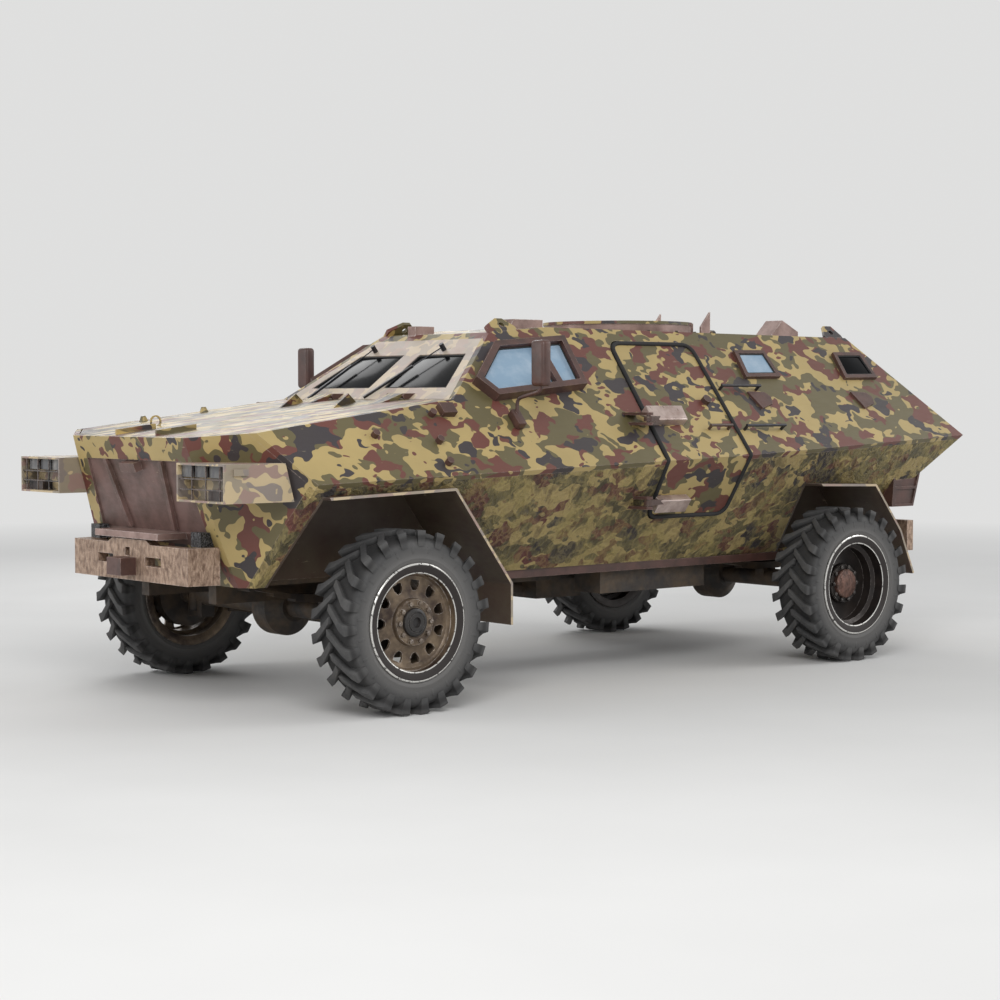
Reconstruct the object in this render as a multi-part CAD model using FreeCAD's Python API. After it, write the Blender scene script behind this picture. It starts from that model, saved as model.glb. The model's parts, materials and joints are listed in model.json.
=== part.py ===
import FreeCAD, Part
import math
import os
from FreeCAD import Placement, Rotation, Vector

os.makedirs("parts", exist_ok=True)

# Four-wheel-drive armoured personnel vehicle, in millimetres.
# X runs forward, Y to the left and Z up. Lengths along X are measured from the rear axle,
# and every finished piece is moved so that the origin lies under the middle of the vehicle.

# Running gear
wheelbase = 3400
tyre_radius = 468
tyre_width = 285
tyre_carcass_radius = 434
lug_count = 23
lug_width = 40
lug_sweep = 112
tread_shoulder_share = 0.7
tread_foot_share = 0.66
tread_foot_width_share = 0.98
tyre_wall_share = 0.33
tyre_seat_gap = 0.3
wheel_half_track = 1064
rim_flange_radius = 302
rim_flange_height = 40
rim_flange_width = 12
rim_width = 278
rim_seat_width = 60
rim_well_depth = 26
rim_wall = 14
rim_disc_offset = 58
rim_disc_thickness = 16
rim_hole_count = 11
rim_hole_circle_share = 0.62
rim_hole_radius = 27
rim_hub_share = 0.4
rim_hub_depth = 36
rear_disc_offset = -20
rear_cap_radius = 87
hub_radius = 46
hub_cap_radius = 76
hub_cap_depth = 14
axle_tube_radius = 55
differential_radius = 160
differential_half_width = 120
drum_radius = 190
drum_width = 80
drum_inner_half_width = 955
kingpin_half_track = 875
kingpin_radius = 24
knuckle_barrel_radius = 46
knuckle_half_height = 92
yoke_gap = 1
yoke_lug = 30
yoke_half_width = 44
yoke_back_half_track = 795
yoke_back_width = 45
steering_arm_length = 250
steering_arm_width = 50
steering_arm_thickness = 26
steering_arm_drop = 62
tie_rod_radius = 15
tie_eye_radius = 30
tie_eye_height = 38
tie_gap = 1
tie_pin_radius = 13
running_gap = 0.3

# Hull corners
floor_height = 648
foot_reach = 2837
foot_height = 1595
foot_half_width = 792
side_lean_degrees = 41
side_toe_share = 0.0397
belt_front_reach = 3952
belt_front_height = 1173
belt_door_reach = 898
belt_door_height = 1270
belt_tail_reach = -1100
belt_tail_height = 1366
lower_lean_degrees = 36.2
nose_reach = 4367
nose_top_height = 1400
nose_top_half_width = 550
nose_foot_reach = 4118
nose_foot_half_width = 656
glass_top_reach = 0.8805 * foot_reach
glass_top_height = 1845
brow_front_reach = 0.8227 * foot_reach
brow_rear_reach = 0.6697 * foot_reach
roof_front_height = 2006
roof_rear_reach = -598
roof_rear_height = 1990
rear_edge_reach = -901
rear_edge_height = 1150
armour = 30
floor_thickness = 24
bulkhead_thickness = 20

# Wheel arches
arch_inner_half_width = 640
arch_outer_half_width = 1126
arch_sheet = 14
front_arch_front_reach = 3891
front_arch_front_height = 1109
front_arch_rear_reach = 3087
front_arch_rear_height = 1136
front_arch_foot_reach = 2706
front_arch_foot_height = 625
front_flap_height = 404
front_arch_nose_reach = 4010
rear_arch_foot_reach = 150
rear_arch_front_reach = 250
rear_arch_front_height = 1085
rear_arch_rear_reach = -266
rear_arch_rear_height = 1071
rear_arch_tail_reach = -511
rear_arch_tail_height = 779
rear_flap_reach = -642
rear_flap_height = 503

# Windows
windscreen_inner_half = 69
windscreen_foot_half = 626
windscreen_head_half = 484
windscreen_foot_height = 1656
windscreen_head_height = 1846
pane_thickness = 18
pane_recess = 8
window_frame_proud = 60
window_frame_wall = 38
window_length = 800
window_height = 339
window_rear_reach = 0.6546 * foot_reach
window_foot_height = 1581
window_post = 44
window_post_reach = 0.7289 * foot_reach
side_pane_proud = 30
vision_proud = 25
vision_wall = 26
vision_length = 300
vision_height = 166
vision_front_reach = 0.0916 * foot_reach
vision_rear_reach = -616
vision_foot_height = 1715

side_knob_radius = 20
side_knob_length = 34
side_knob_shares = [1.2238, 1.0885, 1.0934, 1.0726]
side_knob_heights = [1405, 1371, 1261, 1510]
side_box_share = 1.0367
side_box_height = 1525
side_box_length = 90
side_box_rise = 52
side_box_proud = 40
cover_length = 168
cover_rise = 100
cover_proud = 16
cover_reaches = [449, -455]
cover_foot_height = 1532

# Side doors
door_front_reach = 0.5520 * foot_reach
door_front_head_reach = 0.5210 * foot_reach
door_front_sill_reach = 0.5287 * foot_reach
door_rear_reach = 0.3190 * foot_reach
door_rear_head_reach = 0.2982 * foot_reach
door_rear_sill_reach = 0.3060 * foot_reach
door_head_height = 1915
door_sill_height = 925
door_corner_radius = 75
door_gap = 19
door_rebate = 25
hinge_lead = 89
hinge_reach = door_front_reach + hinge_lead
hinge_half_width = 1070
hinge_pin_radius = 12
hinge_eye_radius = 26
hinge_upper_height = 1484
hinge_lower_height = 1012
hinge_arm_height = 30
hinge_arm_width = 30
hinge_arm_reach = 0.4512 * foot_reach
hinge_ear_height = 16
hinge_ear_gap = 5
hinge_ear_half_length = 50
handle_front_reach = 0.3930 * foot_reach
handle_rear_reach = 0.3384 * foot_reach
handle_height = 1418
handle_stand_off = 40
handle_rod_radius = 9
grab_rear_reach = 0.1833 * foot_reach
grab_front_reach = 0.2912 * foot_reach
grab_upper_height = 1650
grab_lower_height = 1415
knob_reach = 0.3553 * foot_reach
knob_height = 1577
knob_radius = 28
knob_length = 34

# Roof
hatch_reach = 0.3084 * foot_reach
hatch_radius = 453
hatch_wall = 16
hatch_ring_height = 48
hatch_lid_thickness = 18
hatch_lid_lap = 10
hatch_lid_gap = 0.5
hatch_hinge_radius = 14
hatch_hinge_length = 300
hatch_hinge_reach = 0.1417 * foot_reach
hatch_ear_width = 30
roof_block_front_reach = 0.7536 * foot_reach
roof_block_rear_reach = 0.6546 * foot_reach
roof_block_inner_half_width = 290
roof_block_outer_half_width = 405
roof_block_height = 44
roof_block_chamfer = 60
vent_inner_half_width = 106
vent_outer_half_width = 250
vent_front_reach = -215
vent_crest_reach = -369
vent_rear_reach = -523
vent_crest_height = 2108
vent_rear_height = 2036
wedge_half_width = 212
wedge_thickness = 14
wedge_front_reach = 0.1283 * foot_reach
wedge_crest_reach = 0.0994 * foot_reach
wedge_front_height = 2049
wedge_crest_height = 2146
periscope_reach = 0.8008 * foot_reach
periscope_length = 140
periscope_inner_half_width = 165
periscope_outer_half_width = 235
periscope_head_height = 2018
eye_hole_radius = 18
eye_thickness = 20
front_eye_reach = 0.7790 * foot_reach
front_eye_height = 2014
front_eye_foot_reach = 0.8213 * foot_reach
front_eye_rear_reach = 0.7473 * foot_reach
front_eye_head_height = 2050
rear_eye_reach = -497
rear_eye_height = 2024
rear_eye_front_reach = -420
rear_eye_rear_reach = -575
rear_eye_head_height = 2066

# Front fittings
bumper_reach = 4355
bumper_half_width = 563
bumper_end_reach = 4180
bumper_end_half_width = 590
bumper_foot_height = 661
bumper_head_height = 850
bumper_thickness = 60
bumper_hole_foot_height = 741
bumper_hole_head_height = 787
bumper_hole_inner_half_width = 159
bumper_hole_outer_half_width = 313
bumper_crest_height = 872
bumper_crest_half_width = 170
bumper_crest_run = 40
bumper_notch_height = 808
bumper_notch_size = 44
bumper_notch_offset = -14
tow_box_width = 140
tow_box_depth = 90
tow_box_foot_height = 690
tow_box_head_height = 780
tow_bore_radius = 22
tow_bore_margin = 42
pod_front_reach = 4430
pod_rear_reach = 4075
pod_rear_foot_reach = 4024
pod_inner_half_width = 590
pod_outer_half_width = 1016
pod_foot_height = 1090
pod_head_height = 1280
pod_wall = 10
pod_recess = 90
lamp_width = 100
lamp_height = 58
lamp_depth = 60
lamp_glass_thickness = 8
lamp_side_shares = [0.15, 0.44, 0.74]
lower_lamp_width = 150
lower_lamp_height = 52
lower_lamp_share = 0.74
guard_wire = 6
guard_side_shares = [0.3, 0.59, 0.88]
guard_height_shares = [0.33, 0.6]
marker_reach = 4340
marker_length = 84
marker_height = 30
marker_proud = 14
marker_middle_height = 1240
pocket_depth = 10
pocket_head_height = 1280
pocket_head_half_width = 467
pocket_foot_height = 910
pocket_foot_half_width = 516
rib_width = 26
rib_proud = 12
rib_head_half_width = 274
rib_foot_half_width = 219
latch_head_height = 1272
latch_height = 46
latch_width = 145
latch_offset = -20
latch_proud = 34
shelf_reach = 4374
shelf_half_width = 312
shelf_head_height = 913
shelf_thickness = 34
lamp_cage_reach = 4190
lamp_cage_length = 75
lamp_cage_half_width = 500
lamp_cage_width = 90
lamp_cage_height = 75
mirror_reach = 0.8713 * foot_reach
mirror_half_width = 1083
mirror_foot_height = 1661
mirror_head_height = 1908
mirror_width = 107
mirror_depth = 64
mirror_corner = 18
mirror_rod_radius = 11
mirror_rod_foot_reach = 0.8840 * foot_reach
mirror_rod_foot_height = 1470
mirror_rod_bend_height = 1596
mirror_rod_neck = 26
mirror_foot_size = 56
wiper_rod_radius = 7
wiper_stand_off = 22
wiper_blade_length = 330
wiper_pivot_left_half_width = 254
wiper_pivot_left_height = 1870
wiper_tip_left_half_width = 99
wiper_tip_left_height = 1673
wiper_pivot_right_half_width = 384
wiper_pivot_right_height = 1870
wiper_tip_right_half_width = 461
wiper_tip_right_height = 1676
bonnet_gap = 6
bonnet_hinge_lead = 31
bonnet_hinge_reach = foot_reach + bonnet_hinge_lead
bonnet_hinge_height = 20
bonnet_hinge_radius = 14
bonnet_hinge_half_width = 330
bonnet_hinge_length = 120
bonnet_hinge_arm = 150
dome_reaches = [3820, 3425]
dome_half_width = 738
dome_radius = 26
dome_height = 30
ring_reach = 3990
ring_offset = -330
ring_radius = 34
ring_bar = 9
gusset_front_reach = 3230
gusset_rear_reach = 2972
gusset_width = 16
gusset_height = 58
gusset_front_offsets = [229, -273]
gusset_run = 140
bonnet_bar_half_width = 200
bonnet_bar_front_reach = 4310
bonnet_bar_rear_reach = 4070
bonnet_bar_width = 10
bonnet_bar_height = 27

# Rear fittings
rear_bumper_reach = -956
rear_bumper_half_width = 866
rear_bumper_foot_height = 616
rear_bumper_head_height = 812
rear_bumper_depth = 60
rear_box_half_width = 965
rear_box_front_reach = -640
rear_box_front_foot_reach = -616
rear_box_rear_reach = -905
rear_box_rear_foot_reach = -830
rear_box_head_height = 1150
rear_box_foot_height = 912
rear_panel_margin = 16
rear_panel_depth = 10
rear_lamp_radius = 44
rear_lamp_length = 26
rear_lamp_height_share = 0.5
rear_door_half_width = 420
rear_door_margin = 110
rear_door_gap = 8
rear_hinge_radius = 14
rear_hinge_proud = 20
rear_hinge_half_width = 260
rear_hinge_length = 120
rear_hinge_pin_radius = 6
rear_tow_width = 120
rear_tow_depth = 80
rear_tow_height = 80

# Frame under the hull
rail_half_gauge = 330
rail_width = 70
rail_height = 108
rail_front_reach = 4060
horn_height = 90
cross_member_width = 80
cross_member_share = [0.1, 0.36, 0.62, 0.9]
spring_half_gauge = 450
spring_leaf_width = 70
spring_leaf_thickness = 14
spring_leaf_count = 3
spring_half_length = 520
spring_rise = 66
spring_eye_radius = 20
spring_step_share = 0.26
shaft_radius = 34
transfer_box_reach = 1500
transfer_box_length = 360
transfer_box_width = 300
transfer_box_height = 240
engine_front_reach = 3880
engine_rear_reach = 1.0434 * foot_reach
engine_half_width = 290
engine_head_height = 1300
tank_front_reach = 1620
tank_rear_reach = 760
tank_inner_half_width = 420
tank_outer_half_width = 640
tank_foot_height = 470
sill_half_width = 700
sill_depth = 46
sill_thickness = 24

# Crew space
chair_reach = 0.6979 * foot_reach
chair_half_track = 380
chair_width = 470
chair_length = 460
chair_seat_height = 1080
cushion_thickness = 110
chair_back_height = 560
chair_back_lean = 70
chair_stem_width = 260
bench_front_reach = 0.2467 * foot_reach
bench_rear_reach = -400
bench_inner_half_width = 250
bench_outer_half_width = 600
dash_depth = 300
dash_foot_height = 1180
dash_head_height = 1520
dash_half_width = 600
steering_wheel_radius = 200
steering_wheel_rim_radius = 14
steering_wheel_reach = 0.8354 * foot_reach
steering_wheel_height = 1420
steering_lean_degrees = 35
steering_column_radius = 24
wheel_spokes = 3

cut_over = 40
space = 3 * wheelbase
broad = wheelbase / 2
nose_overall = pod_front_reach
tail_overall = belt_tail_reach
middle_reach = (nose_overall + tail_overall) / 2
up = Vector(0, 0, 1)
pieces = {}


def keep(name, *solids):
    """Store the solids of one named piece, moved to the vehicle's own origin."""
    body = Part.makeCompound(list(solids)) if len(solids) > 1 else solids[0]
    body = body.copy()
    body.translate(Vector(-middle_reach, 0, 0))
    pieces[name] = body


def mirrored(shape):
    """The same shape on the right-hand side."""
    return shape.mirror(Vector(0, 0, 0), Vector(0, 1, 0))


def box(x_low, x_high, y_low, y_high, z_low, z_high):
    """Block between two corners."""
    corner = Vector(x_low, y_low, z_low)
    return Part.makeBox(x_high - x_low, y_high - y_low, z_high - z_low, corner)


def upright_prism(outline, y_low, y_high):
    """Prism across the vehicle from an outline of (x, z) points."""
    points = [Vector(x, y_low, z) for x, z in outline]
    face = Part.Face(Part.makePolygon(points + points[:1]))
    return face.extrude(Vector(0, y_high - y_low, 0))


def plan_prism(outline, z_low, z_high):
    """Prism upwards from an outline of (x, y) points."""
    points = [Vector(x, y, z_low) for x, y in outline]
    face = Part.Face(Part.makePolygon(points + points[:1]))
    return face.extrude(Vector(0, 0, z_high - z_low))


def rod(start, end, radius):
    """Round bar between two points."""
    line = end - start
    return Part.makeCylinder(radius, line.Length, start, line)


def joined(shapes):
    """One solid made from shapes that touch or overlap."""
    body = shapes[0]
    for shape in shapes[1:]:
        body = body.fuse(shape)
    return body.removeSplitter()


class Plane:
    """A flat side of the hull, with its normal pointing out."""

    def __init__(self, point, normal):
        """Keep a point of the plane and its unit normal."""
        self.point = point
        self.normal = Vector(normal).normalize()

    def sunk(self, depth):
        """The parallel plane that lies deeper inside by depth."""
        return Plane(self.point - self.normal * depth, self.normal)

    def beyond(self):
        """Block that fills the space outside the plane."""
        block = Part.makeBox(2 * space, 2 * space, space, Vector(-space, -space, 0))
        block.Placement = Placement(self.point, Rotation(up, self.normal))
        return block

    def lift(self, point, depth):
        """The point moved out along the normal."""
        return point + self.normal * depth


def through(a, b, c, outside):
    """Plane through three points, with its normal on the outside point's side."""
    normal = (b - a).cross(c - a)
    if normal.dot(outside - a) < 0:
        normal = normal * -1
    return Plane(a, normal)


# The planes of the left half of the hull
side_flare = math.tan(math.radians(side_lean_degrees))
lower_flare = math.tan(math.radians(lower_lean_degrees))
far = Vector(wheelbase / 2, space, 0)
sky = Vector(wheelbase / 2, 0, space)
front_far = Vector(space, 0, 0)
rear_far = Vector(-space, 0, 0)


def side_y(x, z):
    """Half width of the upper side plate at a place."""
    return foot_half_width - side_toe_share * (x - foot_reach) - side_flare * (z - foot_height)


def side_point(x, z):
    """Point on the left upper side plate."""
    return Vector(x, side_y(x, z), z)


side = Plane(side_point(foot_reach, foot_height), Vector(side_toe_share, 1, side_flare))
belt_front = side_point(belt_front_reach, belt_front_height)
belt_door = side_point(belt_door_reach, belt_door_height)
belt_tail = side_point(belt_tail_reach, belt_tail_height)
inward_fall = Vector(0, -lower_flare, -1) * wheelbase
lower_front = through(belt_front, belt_door, belt_front + inward_fall, far)
lower_rear = through(belt_door, belt_tail, belt_door + inward_fall, far)
floor = Plane(Vector(0, 0, floor_height), Vector(0, 0, -1))


def crosswise(x_a, z_a, x_b, z_b, outside):
    """Plane that runs straight across the vehicle through two side points."""
    first = Vector(x_a, 0, z_a)
    return through(first, Vector(x_b, 0, z_b), first + Vector(0, wheelbase, 0), outside)


bonnet = crosswise(foot_reach, foot_height, nose_reach, nose_top_height, sky)
front = crosswise(nose_reach, nose_top_height, nose_foot_reach, floor_height, front_far)
facet = through(Vector(nose_reach, nose_top_half_width, nose_top_height),
                Vector(nose_foot_reach, nose_foot_half_width, floor_height), belt_front, front_far)
windscreen = crosswise(foot_reach, foot_height, glass_top_reach, glass_top_height, sky)
brow_front_height = foot_height + (foot_reach - brow_front_reach) * (
    glass_top_height - foot_height) / (foot_reach - glass_top_reach)
brow = crosswise(brow_front_reach, brow_front_height, brow_rear_reach, roof_front_height, sky)
roof = crosswise(brow_rear_reach, roof_front_height, roof_rear_reach, roof_rear_height, sky)
rear_upper = crosswise(roof_rear_reach, roof_rear_height, belt_tail_reach, belt_tail_height, rear_far)
rear_lower = crosswise(belt_tail_reach, belt_tail_height, rear_edge_reach, rear_edge_height, rear_far)


def plane_height(plane, x):
    """Height of a crosswise plane at x."""
    return plane.point.z - plane.normal.x * (x - plane.point.x) / plane.normal.z


def lower_y(plane, x, z):
    """Half width of a lower side plate at a place."""
    drop = plane.normal.x * (x - plane.point.x) + plane.normal.z * (z - plane.point.z)
    return plane.point.y - drop / plane.normal.y


def opposite(plane):
    """The same plane on the right-hand side."""
    return Plane(Vector(plane.point.x, -plane.point.y, plane.point.z),
                 Vector(plane.normal.x, -plane.normal.y, plane.normal.z))


def enclosed(block, planes):
    """The block with everything outside the planes cut away."""
    for plane in planes:
        block = block.cut(plane.beyond())
    return block


flanks = [side, lower_front, opposite(side), opposite(lower_front)]
cabin_planes = flanks + [lower_rear, opposite(lower_rear), floor, windscreen, brow, roof,
                         rear_upper, rear_lower]
nose_planes = flanks + [facet, opposite(facet), floor, bonnet, front]
cabin = enclosed(box(-broad, foot_reach, -broad, broad, 0, wheelbase), cabin_planes)
nose = enclosed(box(foot_reach, foot_reach + broad, -broad, broad, 0, wheelbase), nose_planes)
hull = cabin.fuse(nose).removeSplitter()


def skin(body, plane, thickness=armour):
    """Plate of a body that lies just inside one of its planes."""
    return body.common(plane.sunk(thickness).beyond())


# Openings in the hull
def arch_outline(points, drop):
    """Outline of a wheel arch, run down past the hull's bottom."""
    first, last = points[0], points[-1]
    return [(first[0], drop)] + points + [(last[0], drop)]


front_arch = [(front_arch_nose_reach, floor_height), (front_arch_front_reach, front_arch_front_height),
              (front_arch_rear_reach, front_arch_rear_height),
              (front_arch_foot_reach, front_arch_foot_height)]
rear_arch = [(rear_arch_foot_reach, floor_height), (rear_arch_front_reach, rear_arch_front_height),
             (rear_arch_rear_reach, rear_arch_rear_height),
             (rear_arch_tail_reach, rear_arch_tail_height), (rear_flap_reach, floor_height)]
arch_low = floor_height - armour
arch_cut = joined([
    upright_prism(arch_outline(front_arch, arch_low), arch_inner_half_width, space),
    upright_prism(arch_outline(rear_arch, arch_low), arch_inner_half_width, space)])
arch_cuts = arch_cut.fuse(mirrored(arch_cut))


def rounded_outline(points, radius):
    """Wire in the (x, z) plane with every corner of an outline rounded."""
    count = len(points)
    corners = [Vector(x, 0, z) for x, z in points]
    edges = []
    ends = []
    for i, corner in enumerate(corners):
        before = (corners[i - 1] - corner).normalize()
        after = (corners[(i + 1) % count] - corner).normalize()
        turn = math.pi - before.getAngle(after)
        reach = radius * math.tan(turn / 2)
        start, end = corner + before * reach, corner + after * reach
        inward = (before + after).normalize()
        centre = corner + inward * (radius / math.cos(turn / 2))
        edges.append(Part.Arc(start, centre - inward * radius, end).toShape())
        ends.append((start, end))
    sides = [Part.LineSegment(ends[i][1], ends[(i + 1) % count][0]).toShape() for i in range(count)]
    ring = [edge for pair in zip(edges, sides) for edge in pair]
    return Part.Wire(ring)


def door_prism(grow):
    """Prism through the left wall on the door's outline, grown all round."""
    outline = [(door_rear_sill_reach - grow, door_sill_height - grow),
               (door_front_sill_reach + grow, door_sill_height - grow),
               (door_front_reach + grow, belt_door_height),
               (door_front_head_reach + grow, door_head_height + grow),
               (door_rear_head_reach - grow, door_head_height + grow),
               (door_rear_reach - grow, belt_door_height)]
    wire = rounded_outline(outline, door_corner_radius + grow)
    return Part.Face(wire).extrude(Vector(0, space, 0))


door_way = door_prism(door_gap)



def plate_prism(plane, outline, low, high):
    """Prism square to the left side plate from (x, z) points on it."""
    points = [plane.lift(side_point(x, z), low) for x, z in outline]
    face = Part.Face(Part.makePolygon(points + points[:1]))
    return face.extrude(plane.normal * (high - low))


def shrunk(outline, amount):
    """Outline of (x, z) points on the side plate moved in by amount on every side."""
    stretch = 1 / math.cos(math.radians(side_lean_degrees))
    flat = [Vector(x, z * stretch, 0) for x, z in outline]
    wire = Part.makePolygon(flat + flat[:1])
    inner = wire.makeOffset2D(-amount)
    corners = [v.Point for v in inner.OrderedVertexes]
    return [(p.x, p.y / stretch) for p in corners]


window_shares = [(0, 1), (0.665, 0.876), (1, 0.286), (0.89, 0), (0.046, 0.189)]
window_outline = [(window_rear_reach + a * window_length, window_foot_height + b * window_height)
                  for a, b in window_shares]
vision_shares = [(0, 0.03), (0, 1), (0.87, 0.98), (1, 0)]
vision_outlines = [[(x + a * vision_length, vision_foot_height + b * vision_height)
                    for a, b in vision_shares] for x in (vision_front_reach, vision_rear_reach)]
side_openings = [plate_prism(side, shrunk(outline, wall), -armour - cut_over, cut_over)
                 for outline, wall in [(window_outline, window_frame_wall)] +
                 [(outline, vision_wall) for outline in vision_outlines]]
side_opening = Part.makeCompound(side_openings)

# Hull plates, each ending against the ones made before it
upper_left = skin(hull, side).cut(door_way).cut(side_opening)
lower_left = skin(cabin, lower_front).fuse(skin(cabin, lower_rear)).fuse(skin(nose, lower_front))
lower_left = lower_left.removeSplitter().cut(skin(hull, side)).cut(door_way).cut(arch_cuts)
upper_right = mirrored(upper_left)
lower_right = mirrored(lower_left)
keep("hull_upper_side_left", upper_left)
keep("hull_upper_side_right", upper_right)
keep("hull_lower_side_left", lower_left)
keep("hull_lower_side_right", lower_right)
side_walls = skin(hull, side).fuse(skin(cabin, lower_front)).fuse(skin(cabin, lower_rear))
side_walls = side_walls.fuse(skin(nose, lower_front))
taken = side_walls.fuse(mirrored(side_walls))

facet_left = skin(nose, facet).cut(taken)
taken = taken.fuse(skin(nose, facet)).fuse(mirrored(skin(nose, facet)))

front_plate = skin(nose, front).cut(taken)
taken = taken.fuse(skin(nose, front))
bonnet_plate = skin(nose, bonnet).cut(taken)
taken = taken.fuse(skin(nose, bonnet))
floor_plate = skin(cabin, floor, floor_thickness).fuse(skin(nose, floor, floor_thickness))
floor_plate = floor_plate.removeSplitter().cut(taken).cut(arch_cuts)
taken = taken.fuse(skin(cabin, floor, floor_thickness)).fuse(skin(nose, floor, floor_thickness))


def front_prism(outline, low, high):
    """Prism square to the front plate from (y, z) points on it."""
    points = []
    for y, z in outline:
        x = front.point.x - front.normal.z * (z - front.point.z) / front.normal.x
        points.append(front.lift(Vector(x, y, z), low))
    face = Part.Face(Part.makePolygon(points + points[:1]))
    return face.extrude(front.normal * (high - low))


pocket = [(pocket_head_half_width, pocket_head_height), (-pocket_head_half_width, pocket_head_height),
          (-pocket_foot_half_width, pocket_foot_height), (pocket_foot_half_width, pocket_foot_height)]
front_parts = [front_plate.cut(front_prism(pocket, -pocket_depth, cut_over)), facet_left,
               mirrored(facet_left)]
rib_foot = shelf_head_height + rib_proud
for sign in (1, -1):
    head_y = sign * rib_head_half_width
    foot_y = sign * rib_foot_half_width
    half = rib_width / 2
    front_parts.append(front_prism([(head_y - half, pocket_head_height), (head_y + half, pocket_head_height),
                                    (foot_y + half, rib_foot), (foot_y - half, rib_foot)],
                                   -pocket_depth, rib_proud))
latch_low = latch_head_height - latch_height
front_parts.append(front_prism([(latch_offset - latch_width / 2, latch_low),
                                (latch_offset + latch_width / 2, latch_low),
                                (latch_offset + latch_width / 2, latch_head_height),
                                (latch_offset - latch_width / 2,
                                 latch_head_height)], -pocket_depth, latch_proud))
keep("hull_front", joined(front_parts))
keep("hull_floor", floor_plate)

roof_plate = skin(cabin, roof).fuse(skin(cabin, brow)).removeSplitter().cut(taken)
hatch_height = plane_height(roof, hatch_reach)
hatch_hole = Part.makeCylinder(hatch_radius - hatch_wall, space, Vector(hatch_reach, 0, floor_height))
roof_plate = roof_plate.cut(hatch_hole)
taken = taken.fuse(skin(cabin, roof)).fuse(skin(cabin, brow))
keep("hull_roof", roof_plate)

windscreen_plate = skin(cabin, windscreen).cut(taken)


def windscreen_prism(low, high, sign):
    """Prism square to the windscreen plate on one pane's outline."""
    corners = [(windscreen_inner_half, windscreen_foot_height), (windscreen_foot_half,
                                                                 windscreen_foot_height),
               (windscreen_head_half, windscreen_head_height), (windscreen_inner_half,
                                                                windscreen_head_height)]
    points = []
    for y, z in corners:
        x = windscreen.point.x - windscreen.normal.z * (z - windscreen.point.z) / windscreen.normal.x
        points.append(windscreen.lift(Vector(x, sign * y, z), low))
    face = Part.Face(Part.makePolygon(points + points[:1]))
    return face.extrude(windscreen.normal * (high - low))


for sign in (1, -1):
    windscreen_plate = windscreen_plate.cut(windscreen_prism(-armour - cut_over, cut_over, sign))
keep("hull_windscreen_plate", windscreen_plate)
windscreen_panes = [windscreen_prism(-pane_recess - pane_thickness, -pane_recess, sign)
                    for sign in (1, -1)]
taken = taken.fuse(skin(cabin, windscreen))

# Rear plates, with the hatch way in the upper one
rear_plate = skin(cabin, rear_upper).cut(taken)
taken = taken.fuse(skin(cabin, rear_upper))
rear_lower_plate = skin(cabin, rear_lower).cut(taken).cut(arch_cuts)
taken = taken.fuse(skin(cabin, rear_lower))


def rear_prism(half_width, margin, low, high):
    """Prism square to the rear upper plate, margin in from its top and bottom."""
    top = Vector(roof_rear_reach, 0, roof_rear_height)
    foot = Vector(belt_tail_reach, 0, belt_tail_height)
    slope = (foot - top).normalize()
    top = top + slope * margin
    foot = foot - slope * margin
    wide = Vector(0, half_width, 0)
    points = [rear_upper.lift(p, low) for p in (top - wide, top + wide, foot + wide, foot - wide)]
    face = Part.Face(Part.makePolygon(points + points[:1]))
    return face.extrude(rear_upper.normal * (high - low))


rear_way = rear_prism(rear_door_half_width, rear_door_margin, -armour - cut_over, cut_over)
rear_plate = rear_plate.cut(rear_way)
keep("hull_rear_upper", rear_plate)
keep("hull_rear_lower", rear_lower_plate)




# Wheel arches, each a bent sheet with a wall on its inner side
def offset_path(points, amount):
    """The bent line of (x, z) points moved to its left by amount, with mitred corners."""
    line = [Vector(x, z, 0) for x, z in points]
    runs = [(b - a).normalize() for a, b in zip(line, line[1:])]
    lefts = [Vector(-run.y, run.x, 0) for run in runs]
    moved = []
    for i, point in enumerate(line):
        after = lefts[min(i, len(lefts) - 1)]
        mean = (lefts[max(i - 1, 0)] + after).normalize()
        moved.append(point + mean * (amount / mean.dot(after)))
    return [(p.x, p.y) for p in moved]


def arch(points):
    """Left wheel arch along (x, z) points that run from its front foot to the flap's end."""
    inner = offset_path(points, arch_sheet)
    closing = upright_prism(points[:2] + inner[1::-1], arch_inner_half_width, arch_outer_half_width)
    closing = closing.common(hull).cut(skin(nose, facet))
    fender = upright_prism(points[1:] + inner[:0:-1], arch_inner_half_width, arch_outer_half_width)
    wall = upright_prism(points, arch_inner_half_width - arch_sheet, arch_inner_half_width)
    return joined([fender, closing, wall.common(hull).cut(taken)])


front_liner = arch(front_arch + [(front_arch_foot_reach, front_flap_height)])
rear_liner = arch(rear_arch[:-1] + [(rear_flap_reach, rear_flap_height)])
keep("wheel_arches", front_liner, mirrored(front_liner), rear_liner, mirrored(rear_liner))
bulkhead = nose.common(box(foot_reach, foot_reach + bulkhead_thickness, -space, space, 0, space)).cut(taken)
for cutter in (arch_cuts, front_liner, mirrored(front_liner)):
    bulkhead = bulkhead.cut(cutter)
keep("engine_bulkhead", bulkhead)
sill_block = box(rear_arch_foot_reach, front_arch_foot_reach, sill_half_width - sill_thickness,
                 sill_half_width, floor_height - sill_depth, floor_height)
keep("sills", sill_block, mirrored(sill_block))


# Wheels
axle_height = tyre_radius
cross = Vector(0, 1, 0)
origin = Vector(0, 0, 0)


def turned(profile):
    """Solid turned about the Y axis from (radius, y) points."""
    points = [Vector(radius, y, 0) for radius, y in profile]
    face = Part.Face(Part.makePolygon(points + points[:1]))
    return face.revolve(origin, cross, 360)


def cross_rod(x, z, y_low, y_high, radius):
    """Round bar across the vehicle."""
    return Part.makeCylinder(radius, y_high - y_low, Vector(x, y_low, z), cross)


seat_radius = rim_flange_radius - rim_flange_height
well_radius = seat_radius - rim_well_depth
rim_half = rim_width / 2
seat_edge = rim_half - rim_flange_width
well_edge = seat_edge - rim_seat_width


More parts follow.
